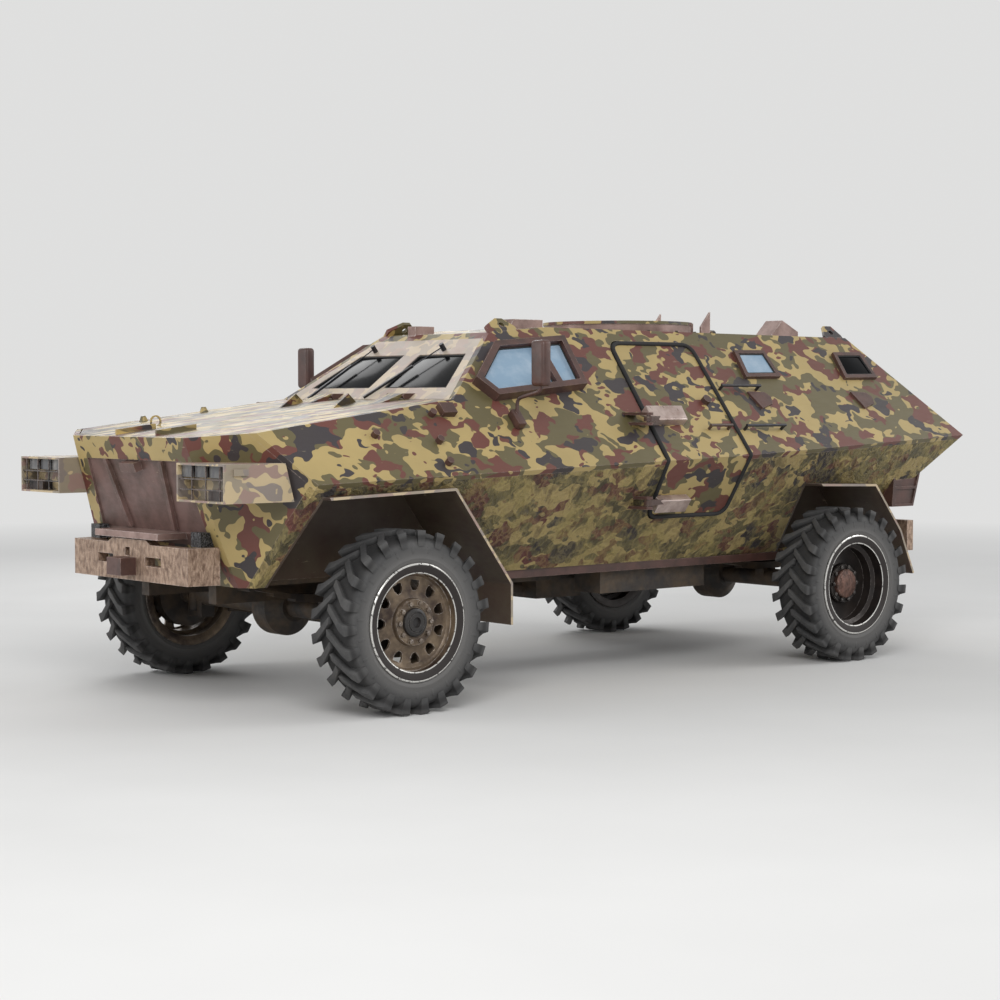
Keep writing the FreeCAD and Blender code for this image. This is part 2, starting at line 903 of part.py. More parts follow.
def rim_barrel():
    """The rim's barrel with two flanges, two bead seats and the well."""
    outer = [(rim_flange_radius, rim_half), (rim_flange_radius, seat_edge), (seat_radius, seat_edge),
             (seat_radius, well_edge), (well_radius, well_edge - rim_well_depth)]
    inner = [(seat_radius - rim_wall, rim_half), (seat_radius - rim_wall, well_edge),
             (well_radius - rim_wall, well_edge - rim_well_depth)]
    far_outer = [(radius, -y) for radius, y in outer]
    far_inner = [(radius, -y) for radius, y in inner]
    return turned(outer + far_outer[::-1] + far_inner + inner[::-1])


def rim(offset, disc_radius, hub_depth, cap_radius, cap_depth, holes):
    """Disc wheel about the Y axis, with its disc offset from the middle plane."""
    face_y = offset + rim_disc_thickness
    hub_ring = rim_hub_share * rim_flange_radius
    bore = hub_radius + running_gap
    end_y = face_y + hub_depth
    disc = turned([(bore, offset), (disc_radius, offset), (disc_radius, face_y), (hub_ring, face_y),
                   (hub_ring, end_y), (bore, end_y)])
    cap = turned([(0, end_y), (cap_radius, end_y), (cap_radius, end_y + cap_depth), (0, end_y + cap_depth)])
    lip = turned([(disc_radius - rim_wall, face_y), (disc_radius, face_y), (disc_radius, face_y + rim_wall),
                  (disc_radius - rim_wall, face_y + rim_wall)])
    body = joined([rim_barrel(), disc, cap, lip])
    middle = rim_hole_circle_share * rim_flange_radius
    inner, outer = middle - rim_hole_radius, middle + rim_hole_radius
    half = rim_hole_radius
    for i in range(holes):
        outline = [(inner, half - rim_wall), (middle, half), (outer, half), (outer, -half), (middle, -half),
                   (inner, rim_wall - half)]
        hole = upright_prism(outline, offset - cut_over, face_y + cut_over)
        hole.rotate(origin, cross, i * 360 / holes)
        body = body.cut(hole)
    return body


def tread_ring(sign, radius, y, swept=None):
    """Points round one side of the tyre, two for each lug, evenly spaced where no sweep is given."""
    pitch = 2 * math.pi / lug_count
    lug_angle = lug_width / tyre_radius
    first, second = (lug_angle - pitch / 2) / 2, (lug_angle + pitch / 2) / 2
    if swept is not None:
        first = swept / tyre_radius
        second = first + lug_angle
    start = pitch / 2 if sign < 0 else 0
    return [Vector(-radius * math.sin(start + i * pitch + turn), sign * y,
                   radius * math.cos(start + i * pitch + turn))
            for i in range(lug_count) for turn in (first, second)]


def strips(near, other):
    """Triangles between two rings of points."""
    count = len(near)
    sheets = []
    for i in range(count):
        k = (i + 1) % count
        sheets += [[near[i], near[k], other[k]], [near[i], other[k], other[i]]]
    return sheets


def tyre():
    """Tyre about the Y axis that fills the rim between its flanges, with two rows of staggered lugs."""
    half = tyre_width / 2
    flat = 1 / math.cos(math.pi / (2 * lug_count))
    wall_height = tyre_carcass_radius - rim_flange_radius
    shoulder_swept = (1 - tread_shoulder_share) * lug_sweep
    bead_y = seat_edge - tyre_seat_gap
    count = 2 * lug_count
    seams = {sign: tread_ring(sign, tyre_carcass_radius, 0, lug_sweep) for sign in (1, -1)}
    sheets = []
    inners = []
    for sign, ahead in ((1, -1), (-1, 1)):
        seam = seams[sign]
        other_seam = seams[-sign]
        seam_high = tread_ring(sign, tyre_radius, 0, lug_sweep)
        edge_high = tread_ring(sign, tyre_radius, half, 0)
        shoulder = tread_ring(sign, tyre_carcass_radius, tread_shoulder_share * half, shoulder_swept)
        foot = tread_ring(sign, rim_flange_radius + tread_foot_share * wall_height,
                          tread_foot_width_share * half, 0)
        wall = tread_ring(sign, rim_flange_radius + tyre_wall_share * wall_height, half)
        flange = tread_ring(sign, (rim_flange_radius + tyre_seat_gap) * flat, bead_y)
        inner = tread_ring(sign, (seat_radius + tyre_seat_gap) * flat, bead_y)
        inners.append(inner)
        for i in range(0, count, 2):
            k = i + 1
            after = (k + 1) % count
            sheets += [[seam_high[i], seam_high[k], edge_high[k]], [seam_high[i], edge_high[k],
                                                                    edge_high[i]],
                       [edge_high[i], edge_high[k], foot[k]], [edge_high[i], foot[k], foot[i]],
                       [seam[i], seam[k], seam_high[k]], [seam[i], seam_high[k], seam_high[i]]]
            for end in (i, k):
                sheets += [[seam[end], shoulder[end], seam_high[end]],
                           [shoulder[end], edge_high[end], seam_high[end]],
                           [shoulder[end], foot[end], edge_high[end]]]
            sheets += [[shoulder[k], foot[k], foot[after]], [shoulder[k], foot[after], shoulder[after]],
                       [seam[k], shoulder[k], shoulder[after]]]
            chain = [seam[k], other_seam[(k + ahead) % count], other_seam[(k + ahead + 1) % count],
                     seam[after]]
            sheets += [[shoulder[after], chain[j], chain[j + 1]] for j in range(3)]
        for near, other in ((foot, wall), (wall, flange), (flange, inner)):
            sheets += strips(near, other)
    left_inner, right_inner = inners
    sheets += strips(left_inner, right_inner[-1:] + right_inner[:-1])
    body = Part.Solid(Part.makeShell([Part.Face(Part.makePolygon(sheet + sheet[:1])) for sheet in sheets]))
    if body.Volume < 0:
        body.reverse()
    return body.removeSplitter()


def on_wheel(shape, x, sign):
    """A wheel's shape, modelled about the Y axis for the left side, at its place."""
    placed = shape.copy()
    if sign < 0:
        placed = mirrored(placed)
    placed.translate(Vector(x, sign * wheel_half_track, axle_height))
    return placed


front_rim = rim(rim_disc_offset, seat_radius - rim_wall / 2, rim_hub_depth, hub_cap_radius,
                hub_cap_depth, rim_hole_count)
rear_rim = rim(rear_disc_offset, well_radius - rim_wall / 2, rim_hub_depth, rear_cap_radius,
               rim_hub_depth, 0)
tyre_ring = tyre()
for end, x, rim_shape in (("front", wheelbase, front_rim), ("rear", 0, rear_rim)):
    for side_name, sign in (("left", 1), ("right", -1)):
        keep("tyre_" + end + "_" + side_name, on_wheel(tyre_ring, x, sign))
        keep("rim_" + end + "_" + side_name, on_wheel(rim_shape, x, sign))

# Axles
seat_height = axle_height + axle_tube_radius


def axle_body(x, half_length):
    """Axle tube, differential housing and spring seats."""
    tube = cross_rod(x, axle_height, -half_length, half_length, axle_tube_radius)
    shoulder = differential_radius / 2
    housing = turned([(0, -differential_half_width), (shoulder, -differential_half_width),
                      (differential_radius, -differential_half_width / 2),
                      (differential_radius, differential_half_width / 2),
                      (shoulder, differential_half_width), (0, differential_half_width)])
    housing.translate(Vector(x, 0, axle_height))
    seats = [box(x - axle_tube_radius, x + axle_tube_radius,
                 sign * spring_half_gauge - spring_leaf_width / 2,
                 sign * spring_half_gauge + spring_leaf_width / 2, axle_height, seat_height)
             for sign in (1, -1)]
    return joined([tube, housing] + seats)


def wheel_end(x, inner_y, stub_end):
    """Left brake drum with the stub that carries the wheel."""
    drum = cross_rod(x, axle_height, drum_inner_half_width, drum_inner_half_width + drum_width, drum_radius)
    neck = cross_rod(x, axle_height, inner_y, drum_inner_half_width, axle_tube_radius)
    stub = cross_rod(x, axle_height, drum_inner_half_width + drum_width, stub_end, hub_radius)
    return [neck, drum, stub]


yoke_height = knuckle_half_height + yoke_gap + yoke_lug
front_axle = axle_body(wheelbase, yoke_back_half_track)
yoke_back = box(wheelbase - yoke_half_width, wheelbase + yoke_half_width,
                yoke_back_half_track - yoke_back_width, yoke_back_half_track,
                axle_height - yoke_height, axle_height + yoke_height)
yoke = [yoke_back]
for low in (-yoke_height, yoke_height - yoke_lug):
    lug_low = axle_height + low
    yoke.append(box(wheelbase - yoke_half_width, wheelbase + yoke_half_width,
                    yoke_back_half_track - yoke_back_width, kingpin_half_track, lug_low, lug_low + yoke_lug))
    yoke.append(Part.makeCylinder(yoke_half_width, yoke_lug, Vector(wheelbase, kingpin_half_track, lug_low)))
kingpin_hole = Part.makeCylinder(kingpin_radius + running_gap, 2 * yoke_height + 2 * cut_over,
                                 Vector(wheelbase, kingpin_half_track, axle_height - yoke_height - cut_over))
yoke = joined(yoke).cut(kingpin_hole)
front_axle = joined([front_axle, yoke, mirrored(yoke)])
keep("front_axle", front_axle)
rear_stub_end = wheel_half_track + rear_disc_offset + rim_disc_thickness + rim_hub_depth / 2
rear_end = wheel_end(0, kingpin_half_track, rear_stub_end)
rear_axle = joined([axle_body(0, kingpin_half_track)] + rear_end + [mirrored(shape) for shape in rear_end])
keep("rear_axle", rear_axle)

# Steering knuckles and tie rod
arm_low = axle_height - steering_arm_drop - steering_arm_thickness / 2
arm_high = arm_low + steering_arm_thickness
arm_reach = wheelbase - steering_arm_length
front_stub_end = wheel_half_track + rim_disc_offset + rim_disc_thickness + rim_hub_depth / 2
barrel = Part.makeCylinder(knuckle_barrel_radius, 2 * knuckle_half_height,
                           Vector(wheelbase, kingpin_half_track, axle_height - knuckle_half_height))
kingpin = Part.makeCylinder(kingpin_radius, 2 * yoke_height,
                            Vector(wheelbase, kingpin_half_track, axle_height - yoke_height))
steering_arm = joined([
    box(arm_reach, wheelbase, kingpin_half_track - steering_arm_width / 2,
        kingpin_half_track + steering_arm_width / 2, arm_low, arm_high),
    Part.makeCylinder(tie_eye_radius, steering_arm_thickness, Vector(arm_reach, kingpin_half_track,
                                                                     arm_low))])
pin_hole = Part.makeCylinder(tie_pin_radius + running_gap, steering_arm_thickness + 2 * cut_over,
                             Vector(arm_reach, kingpin_half_track, arm_low - cut_over))
knuckle = joined([barrel, kingpin] + wheel_end(wheelbase, kingpin_half_track,
                                               front_stub_end) + [steering_arm])
knuckle = knuckle.cut(pin_hole)
keep("knuckle_left", knuckle)
keep("knuckle_right", mirrored(knuckle))
eye_low = arm_low - tie_gap - tie_eye_height
tie_parts = [rod(Vector(arm_reach, -kingpin_half_track, eye_low + tie_eye_height / 2),
                 Vector(arm_reach, kingpin_half_track, eye_low + tie_eye_height / 2), tie_rod_radius)]
for sign in (1, -1):
    foot = Vector(arm_reach, sign * kingpin_half_track, eye_low)
    tie_parts.append(Part.makeCylinder(tie_eye_radius, tie_eye_height, foot))
    tie_parts.append(Part.makeCylinder(tie_pin_radius, arm_high - eye_low, foot))
keep("tie_rod", joined(tie_parts))


# Leaf springs, each one solid with the eyes that hang it from the frame
def leaf_spring(x):
    """Left leaf spring over an axle at x."""
    radius = (spring_half_length ** 2 + spring_rise ** 2) / (2 * spring_rise)
    y_low = spring_half_gauge - spring_leaf_width / 2
    stack = spring_leaf_count * spring_leaf_thickness
    centre = Vector(x, y_low, seat_height + stack - spring_leaf_thickness + radius)
    leaves = []
    for k in range(spring_leaf_count):
        outer = radius + k * spring_leaf_thickness
        inner = outer - spring_leaf_thickness
        half_angle = math.asin(spring_half_length * (1 - k * spring_step_share) / radius)
        arcs = []
        for r in (outer, inner):
            ends = [centre + Vector(r * math.sin(a), 0, -r * math.cos(a)) for a in (-half_angle, half_angle)]
            arcs.append(Part.Arc(ends[0], centre - up * r, ends[1]).toShape())
            arcs.append(ends)
        sides = [Part.makeLine(arcs[1][i], arcs[3][i]) for i in (0, 1)]
        face = Part.Face(Part.Wire(Part.__sortEdges__([arcs[0], arcs[2]] + sides)))
        leaves.append(face.extrude(cross * spring_leaf_width))
    eye_height = centre.z - math.sqrt(radius ** 2 - spring_half_length ** 2) + spring_leaf_thickness / 2
    for eye_x in (x - spring_half_length, x + spring_half_length):
        leaves.append(cross_rod(eye_x, eye_height, rail_half_gauge + rail_width / 2,
                                spring_half_gauge + spring_leaf_width / 2, spring_eye_radius))
    return joined(leaves)


springs = [leaf_spring(0), leaf_spring(wheelbase)]
keep("leaf_springs", *(springs + [mirrored(shape) for shape in springs]))

# Frame, drive line, tanks and engine
rail_low = floor_height - rail_height
rail_inner = rail_half_gauge - rail_width / 2
rail_outer = rail_half_gauge + rail_width / 2
rail_rear_reach = rear_bumper_reach + rear_bumper_depth
bumper_back = bumper_reach - bumper_thickness
frame_parts = []
for low in (rail_inner, -rail_outer):
    frame_parts.append(box(rail_rear_reach, rail_front_reach, low, low + rail_width, rail_low, floor_height))
    frame_parts.append(box(rail_rear_reach, rear_edge_reach + rail_height, low, low + rail_width, rail_low,
                           rear_bumper_head_height).cut(hull))
for share in cross_member_share:
    middle = share * wheelbase
    frame_parts.append(box(middle - cross_member_width / 2, middle + cross_member_width / 2,
                           -rail_inner, rail_inner, rail_low, floor_height))
keep("chassis_frame", joined(frame_parts))
horns = [box(rail_front_reach, bumper_back, low, low + rail_width, bumper_foot_height,
             bumper_foot_height + horn_height).cut(hull) for low in (rail_inner, -rail_outer)]
transfer_box = box(transfer_box_reach - transfer_box_length / 2,
                   transfer_box_reach + transfer_box_length / 2,
                   -transfer_box_width / 2, transfer_box_width / 2,
                   floor_height - transfer_box_height, floor_height)
along = Vector(1, 0, 0)
rear_shaft = Part.makeCylinder(shaft_radius, transfer_box_reach - differential_radius,
                               Vector(differential_radius, 0, axle_height), along)
front_shaft = Part.makeCylinder(shaft_radius, wheelbase - differential_radius - transfer_box_reach,
                                Vector(transfer_box_reach, 0, axle_height), along)
keep("drive_line", joined([transfer_box, rear_shaft, front_shaft]))
tank = box(tank_rear_reach, tank_front_reach, tank_inner_half_width, tank_outer_half_width,
           tank_foot_height, floor_height)
keep("fuel_tanks", tank, mirrored(tank))
keep("engine_block", box(engine_rear_reach, engine_front_reach, -engine_half_width, engine_half_width,
                         floor_height + floor_thickness, engine_head_height))

# Front bumper with the towing jaw, shelf and lamp cages
bumper_outline = [(bumper_end_reach, bumper_end_half_width), (bumper_reach, bumper_half_width),
                  (bumper_reach, -bumper_half_width), (bumper_end_reach, -bumper_end_half_width),
                  (bumper_end_reach, bumper_thickness - bumper_end_half_width),
                  (bumper_back, bumper_thickness - bumper_half_width),
                  (bumper_back, bumper_half_width - bumper_thickness),
                  (bumper_end_reach, bumper_end_half_width - bumper_thickness)]
bumper = plan_prism(bumper_outline, bumper_foot_height, bumper_head_height).cut(hull)
crest_points = [(-bumper_crest_half_width - bumper_crest_run, bumper_head_height),
                (-bumper_crest_half_width, bumper_crest_height), (bumper_crest_half_width,
                                                                  bumper_crest_height),
                (bumper_crest_half_width + bumper_crest_run, bumper_head_height)]
crest_points = [Vector(bumper_back, y, z) for y, z in crest_points]
crest = Part.Face(Part.makePolygon(crest_points + crest_points[:1])).extrude(along * bumper_thickness)
bumper = bumper.fuse(crest.cut(hull))
notch_half = bumper_notch_size / 2
bumper = bumper.cut(box(bumper_back - cut_over, bumper_reach + cut_over, bumper_notch_offset - notch_half,
                        bumper_notch_offset + notch_half, bumper_notch_height - notch_half,
                        bumper_notch_height + notch_half))
for low in (bumper_hole_inner_half_width, -bumper_hole_outer_half_width):
    bumper = bumper.cut(box(bumper_back - cut_over, bumper_reach + cut_over, low,
                            low + bumper_hole_outer_half_width - bumper_hole_inner_half_width,
                            bumper_hole_foot_height, bumper_hole_head_height))
tow_end = bumper_reach + tow_box_depth
tow_box = box(bumper_reach, tow_end, -tow_box_width / 2, tow_box_width / 2,
              tow_box_foot_height, tow_box_head_height)
tow_bore = Part.makeCylinder(tow_bore_radius, space, Vector(tow_end - tow_bore_margin, 0, 0))
keep("tow_jaw_front", tow_box.cut(tow_bore))
shelf = box(nose_foot_reach, shelf_reach, -shelf_half_width, shelf_half_width,
            shelf_head_height - shelf_thickness, shelf_head_height).cut(hull)
keep("front_shelf", shelf)
cages = [box(lamp_cage_reach, lamp_cage_reach + lamp_cage_length, middle - lamp_cage_width / 2,
             middle + lamp_cage_width / 2, bumper_head_height, bumper_head_height + lamp_cage_height).cut(hull)
         for middle in (lamp_cage_half_width, -lamp_cage_half_width)]
keep("bumper_front", joined([bumper] + cages + horns))

# Head lamp pods
pod = upright_prism([(pod_front_reach, pod_foot_height), (pod_front_reach, pod_head_height),
                     (pod_rear_reach, pod_head_height), (pod_rear_foot_reach, pod_foot_height)],
                    pod_inner_half_width, pod_outer_half_width).cut(hull)
pod_back = pod_front_reach - pod_recess
pod = pod.cut(box(pod_back, pod_front_reach + cut_over, pod_inner_half_width + pod_wall,
                  pod_outer_half_width - pod_wall, pod_foot_height + pod_wall, pod_head_height - pod_wall))
lamp_front = pod_back + lamp_depth
lamp_high = pod_head_height - pod_wall
glasses = []
for share in lamp_side_shares:
    middle = pod_inner_half_width + share * (pod_outer_half_width - pod_inner_half_width)
    lamp = box(pod_back, lamp_front, middle - lamp_width / 2, middle + lamp_width / 2,
               lamp_high - lamp_height, lamp_high)
    pod = pod.fuse(lamp)
    glasses.append(box(lamp_front, lamp_front + lamp_glass_thickness, middle - lamp_width / 2,
                       middle + lamp_width / 2, lamp_high - lamp_height, lamp_high))
lower_middle = pod_inner_half_width + lower_lamp_share * (pod_outer_half_width - pod_inner_half_width)
pod = pod.fuse(box(pod_back, lamp_front, lower_middle - lower_lamp_width / 2,
                   lower_middle + lower_lamp_width / 2,
                   pod_foot_height + pod_wall, pod_foot_height + pod_wall + lower_lamp_height))
wire_back = pod_front_reach - 2 * guard_wire
for share in guard_side_shares:
    middle = pod_inner_half_width + share * (pod_outer_half_width - pod_inner_half_width)
    pod = pod.fuse(box(wire_back, wire_back + guard_wire, middle - guard_wire / 2, middle + guard_wire / 2,
                       pod_foot_height, pod_head_height))
for share in guard_height_shares:
    middle = pod_foot_height + share * (pod_head_height - pod_foot_height)
    pod = pod.fuse(box(wire_back, wire_back + guard_wire, pod_inner_half_width, pod_outer_half_width,
                       middle - guard_wire / 2, middle + guard_wire / 2))
pod = pod.fuse(box(marker_reach - marker_length / 2, marker_reach + marker_length / 2, pod_outer_half_width,
                   pod_outer_half_width + marker_proud, marker_middle_height - marker_height / 2,
                   marker_middle_height + marker_height / 2))
pod = pod.removeSplitter()
keep("lamp_pods", pod, mirrored(pod))
keep("lamp_glasses", *(glasses + [mirrored(shape) for shape in glasses]))


# Side windows and vision blocks
def on_both_sides(name, shapes):
    """Store left-hand shapes and their mirror images as one piece."""
    keep(name, *(shapes + [mirrored(shape) for shape in shapes]))


window_cut = plate_prism(side, shrunk(window_outline, window_frame_wall), -armour,
                         window_frame_proud + cut_over)
post = plate_prism(side, [(window_post_reach, window_foot_height), (window_post_reach + window_post,
                   window_foot_height), (window_post_reach + window_post,
                                         window_foot_height + window_height),
                   (window_post_reach, window_foot_height + window_height)], 0, window_frame_proud)
post = post.common(window_cut)
window_frame = plate_prism(side, window_outline, 0, window_frame_proud).cut(window_cut)
frames = [joined([window_frame, post])]
panes = [plate_prism(side, shrunk(window_outline, window_frame_wall), side_pane_proud - pane_thickness,
                     side_pane_proud).cut(post)]
for outline in vision_outlines:
    block_cut = plate_prism(side, shrunk(outline, vision_wall), -armour, vision_proud + cut_over)
    frames.append(plate_prism(side, outline, 0, vision_proud).cut(block_cut))
    panes.append(plate_prism(side, shrunk(outline, vision_wall), vision_proud - pane_recess - pane_thickness,
                             vision_proud - pane_recess))
on_both_sides("window_frames", frames)
knobs = []
for share, height in zip(side_knob_shares, side_knob_heights):
    seat = side_point(share * foot_reach, height)
    knobs.append(rod(seat, side.lift(seat, side_knob_length), side_knob_radius))
box_rear = side_box_share * foot_reach - side_box_length / 2
box_low = side_box_height - side_box_rise / 2
knobs.append(plate_prism(side, [(box_rear, box_low), (box_rear + side_box_length, box_low),
                                (box_rear + side_box_length, box_low + side_box_rise),
                                (box_rear, box_low + side_box_rise)], 0, side_box_proud))
cover_shares = [(1, 1), (0.18, 0.95), (0, 0.68), (0.12, 0.28), (0.76, 0)]
for reach in cover_reaches:
    knobs.append(plate_prism(side, [(reach + a * cover_length, cover_foot_height + b * cover_rise)
                                    for a, b in cover_shares], 0, cover_proud))
on_both_sides("side_fittings", knobs)
keep("window_panes", *(panes + [mirrored(pane) for pane in panes] + windscreen_panes))


def wall_y(x, z):
    """Half width of the hull's left wall at a place beside the door."""
    return min(side_y(x, z), lower_y(lower_front, x, z))


# Side doors, each bent at the belt and stepped round its edge
def door_block(grow, depth):
    """The door's prism up to a depth under the hull's left faces."""
    return enclosed(door_prism(grow), [plane.sunk(depth) for plane in (side, lower_front, lower_rear)])


half_wall = armour / 2
door_outer = door_block(0, 0).cut(door_block(cut_over, half_wall))
door_inner = door_block(-door_rebate, half_wall).cut(door_block(cut_over, armour))
door_parts = [door_outer, door_inner]


def hinge_arm(height):
    """Arm from the door's face out to the hinge pin."""
    low = height - hinge_arm_height / 2
    high = low + hinge_arm_height
    bend = door_front_sill_reach - hinge_arm_width

    def seat_y(x):
        return min(wall_y(x, low), wall_y(x, high))

    outline = [(hinge_reach, hinge_half_width + hinge_arm_width / 2),
               (hinge_reach, hinge_half_width - hinge_arm_width / 2),
               (bend, seat_y(bend)), (hinge_arm_reach, seat_y(hinge_arm_reach)),
               (hinge_arm_reach, seat_y(hinge_arm_reach) + 2 * hinge_arm_width),
               (bend, seat_y(bend) + 2 * hinge_arm_width)]
    arm = plan_prism(outline, low, high)
    eye = Part.makeCylinder(hinge_eye_radius, hinge_arm_height, Vector(hinge_reach, hinge_half_width, low))
    hole = Part.makeCylinder(hinge_pin_radius + running_gap, hinge_arm_height + 2 * cut_over,
                             Vector(hinge_reach, hinge_half_width, low - cut_over))
    return joined([arm, eye]).cut(hole)


def hinge_bracket(height):
    """Two ears with a pin, on the hull ahead of the door."""
    reach_up = hinge_arm_height / 2 + hinge_ear_gap
    parts = [Part.makeCylinder(hinge_pin_radius, 2 * (reach_up + hinge_ear_height),
                               Vector(hinge_reach, hinge_half_width, height - reach_up - hinge_ear_height))]
    for low in (height + reach_up, height - reach_up - hinge_ear_height):
        foot_y = wall_y(hinge_reach, low) - armour
        parts.append(plan_prism([(hinge_reach - hinge_ear_half_length, foot_y),
                                 (hinge_reach + hinge_ear_half_length, foot_y),
                                 (hinge_reach + hinge_eye_radius, hinge_half_width),
                                 (hinge_reach - hinge_eye_radius, hinge_half_width)],
                                low, low + hinge_ear_height).cut(hull))
        parts.append(Part.makeCylinder(hinge_eye_radius, hinge_ear_height,
                                       Vector(hinge_reach, hinge_half_width, low)))
    return joined(parts)


def grab_bar(x_rear, x_front, height):
    """Round bar with two feet, square to the side plate."""
    ends = [side_point(x, height) for x in (x_rear, x_front)]
    tops = [side.lift(end, handle_stand_off) for end in ends]
    return joined([rod(ends[0], tops[0], handle_rod_radius), rod(ends[1], tops[1], handle_rod_radius),
                   rod(tops[0] - along * handle_rod_radius, tops[1] + along * handle_rod_radius,
                       handle_rod_radius)])


hinge_heights = (hinge_upper_height, hinge_lower_height)
knob_seat = side_point(knob_reach, knob_height)
door_parts += [hinge_arm(height) for height in hinge_heights]
door_parts += [grab_bar(handle_rear_reach, handle_front_reach, handle_height),
               rod(knob_seat, side.lift(knob_seat, knob_length), knob_radius)]
door = joined(door_parts)
keep("door_left", door)
keep("door_right", mirrored(door))
door_brackets = [hinge_bracket(height) for height in hinge_heights]
on_both_sides("grab_handles", [grab_bar(grab_rear_reach, grab_front_reach, height)
                               for height in (grab_upper_height, grab_lower_height)])

# Roof hatch with its ring and lid
ring_top = hatch_height + hatch_ring_height
ring = Part.makeCylinder(hatch_radius, hatch_ring_height + armour, Vector(hatch_reach, 0,
                                                                          hatch_height - armour))
ring = ring.cut(hatch_hole).cut(cabin)
lid_low = ring_top + hatch_lid_gap
hinge_height = lid_low + hatch_lid_thickness / 2
half_hinge = hatch_hinge_length / 2
ear_high = hinge_height + hatch_hinge_radius
ears = [box(hatch_hinge_reach - hatch_hinge_radius, hatch_hinge_reach + hatch_hinge_radius, low,
            low + hatch_ear_width, roof_rear_height - armour, ear_high).cut(cabin)
        for low in (half_hinge + hatch_lid_gap, -half_hinge - hatch_lid_gap - hatch_ear_width)]
hatch_pin = cross_rod(hatch_hinge_reach, hinge_height, -half_hinge - hatch_ear_width,
                      half_hinge + hatch_ear_width, hatch_hinge_radius / 2)
keep("hatch_ring", ring, joined(ears + [hatch_pin]))
lid = Part.makeCylinder(hatch_radius + hatch_lid_lap, hatch_lid_thickness, Vector(hatch_reach, 0, lid_low))
lid_leaf = box(hatch_hinge_reach, hatch_reach, -half_hinge, half_hinge, lid_low,
               lid_low + hatch_lid_thickness)
barrel_bore = cross_rod(hatch_hinge_reach, hinge_height, -half_hinge - cut_over, half_hinge + cut_over,
                        hatch_hinge_radius / 2 + running_gap)
lid_barrel = cross_rod(hatch_hinge_reach, hinge_height, -half_hinge, half_hinge, hatch_hinge_radius)
keep("hatch_lid", joined([lid, lid_leaf, lid_barrel]).cut(barrel_bore))

# Roof fittings: low block, ventilator, lid rests and periscope
roof_block_top = roof_front_height + roof_block_height
roof_block = upright_prism([(roof_block_rear_reach, roof_rear_height - armour),
                            (roof_block_front_reach, roof_rear_height - armour),
                            (roof_block_front_reach - roof_block_chamfer, roof_block_top),
                            (roof_block_rear_reach, roof_block_top)],
                           roof_block_inner_half_width, roof_block_outer_half_width).cut(cabin)
vent = upright_prism([(vent_front_reach, roof_rear_height - armour), (vent_crest_reach, vent_crest_height),
                      (vent_rear_reach, vent_rear_height), (vent_rear_reach, roof_rear_height - armour)],
                     vent_inner_half_width, vent_outer_half_width).cut(cabin)
rests = [upright_prism([(wedge_front_reach, roof_rear_height - armour), (wedge_front_reach,
                                                                         wedge_front_height),
                        (wedge_crest_reach, wedge_crest_height),
                        (wedge_crest_reach,
                         roof_rear_height - armour)], low, low + wedge_thickness).cut(cabin)
         for low in (wedge_half_width, -wedge_half_width - wedge_thickness)]
periscope = box(periscope_reach - periscope_length / 2, periscope_reach + periscope_length / 2,
                -periscope_outer_half_width, -periscope_inner_half_width,
                glass_top_height, periscope_head_height).cut(cabin)
keep("roof_fittings", roof_block, vent, periscope, *rests)


def lifting_eye(foot_front, foot_rear, hole_x, hole_z, head):
    """Upright eye plate that carries the side plate on above the roof."""
    rounding = hole_z + eye_hole_radius - roof_front_height
    outline = [(foot_front, glass_top_height), (foot_front, roof_front_height),
               (hole_x + rounding, head), (hole_x - rounding, head),
               (foot_rear, roof_front_height), (foot_rear, glass_top_height)]
    plate = plate_prism(side, outline, -eye_thickness, 0).cut(cabin)
    middle = side_point(hole_x, hole_z)
    hole = rod(side.lift(middle, -armour - cut_over), side.lift(middle, cut_over), eye_hole_radius)
    return plate.cut(hole)


on_both_sides("lifting_eyes", [
    lifting_eye(front_eye_foot_reach, front_eye_rear_reach, front_eye_reach, front_eye_height,
                front_eye_head_height),
    lifting_eye(rear_eye_front_reach, rear_eye_rear_reach, rear_eye_reach, rear_eye_height,
                rear_eye_head_height)])

# Mirrors and wipers
mirror_head = box(mirror_reach - mirror_depth / 2, mirror_reach + mirror_depth / 2,
                  mirror_half_width - mirror_width / 2, mirror_half_width + mirror_width / 2,
                  mirror_foot_height, mirror_head_height)
mirror_head = mirror_head.makeFillet(mirror_corner, [e for e in mirror_head.Edges
                                                     if abs(e.tangentAt(0).y) < 1 / 2])
plate_seat = side_point(mirror_rod_foot_reach, mirror_rod_foot_height)
rod_foot = side.lift(plate_seat, mirror_foot_size / 2)
mirror_foot = rod(plate_seat, side.lift(plate_seat, mirror_foot_size), mirror_foot_size / 2)
rod_low = Vector(rod_foot.x, rod_foot.y, mirror_rod_bend_height)
rod_high = Vector(mirror_reach, mirror_half_width, mirror_foot_height - mirror_rod_neck)
rod_top = Vector(mirror_reach, mirror_half_width, mirror_foot_height + mirror_corner)
mirror = joined([mirror_head, mirror_foot, rod(rod_foot, rod_low, mirror_rod_radius),
                 Part.makeSphere(mirror_rod_radius, rod_low), rod(rod_low, rod_high, mirror_rod_radius),
                 Part.makeSphere(mirror_rod_radius, rod_high), rod(rod_high, rod_top, mirror_rod_radius)])
on_both_sides("mirrors", [mirror.cut(hull)])


def on_glass(y, z, lift):
    """Point over the windscreen plate."""
    x = windscreen.point.x - windscreen.normal.z * (z - windscreen.point.z) / windscreen.normal.x
    return windscreen.lift(Vector(x, y, z), lift)


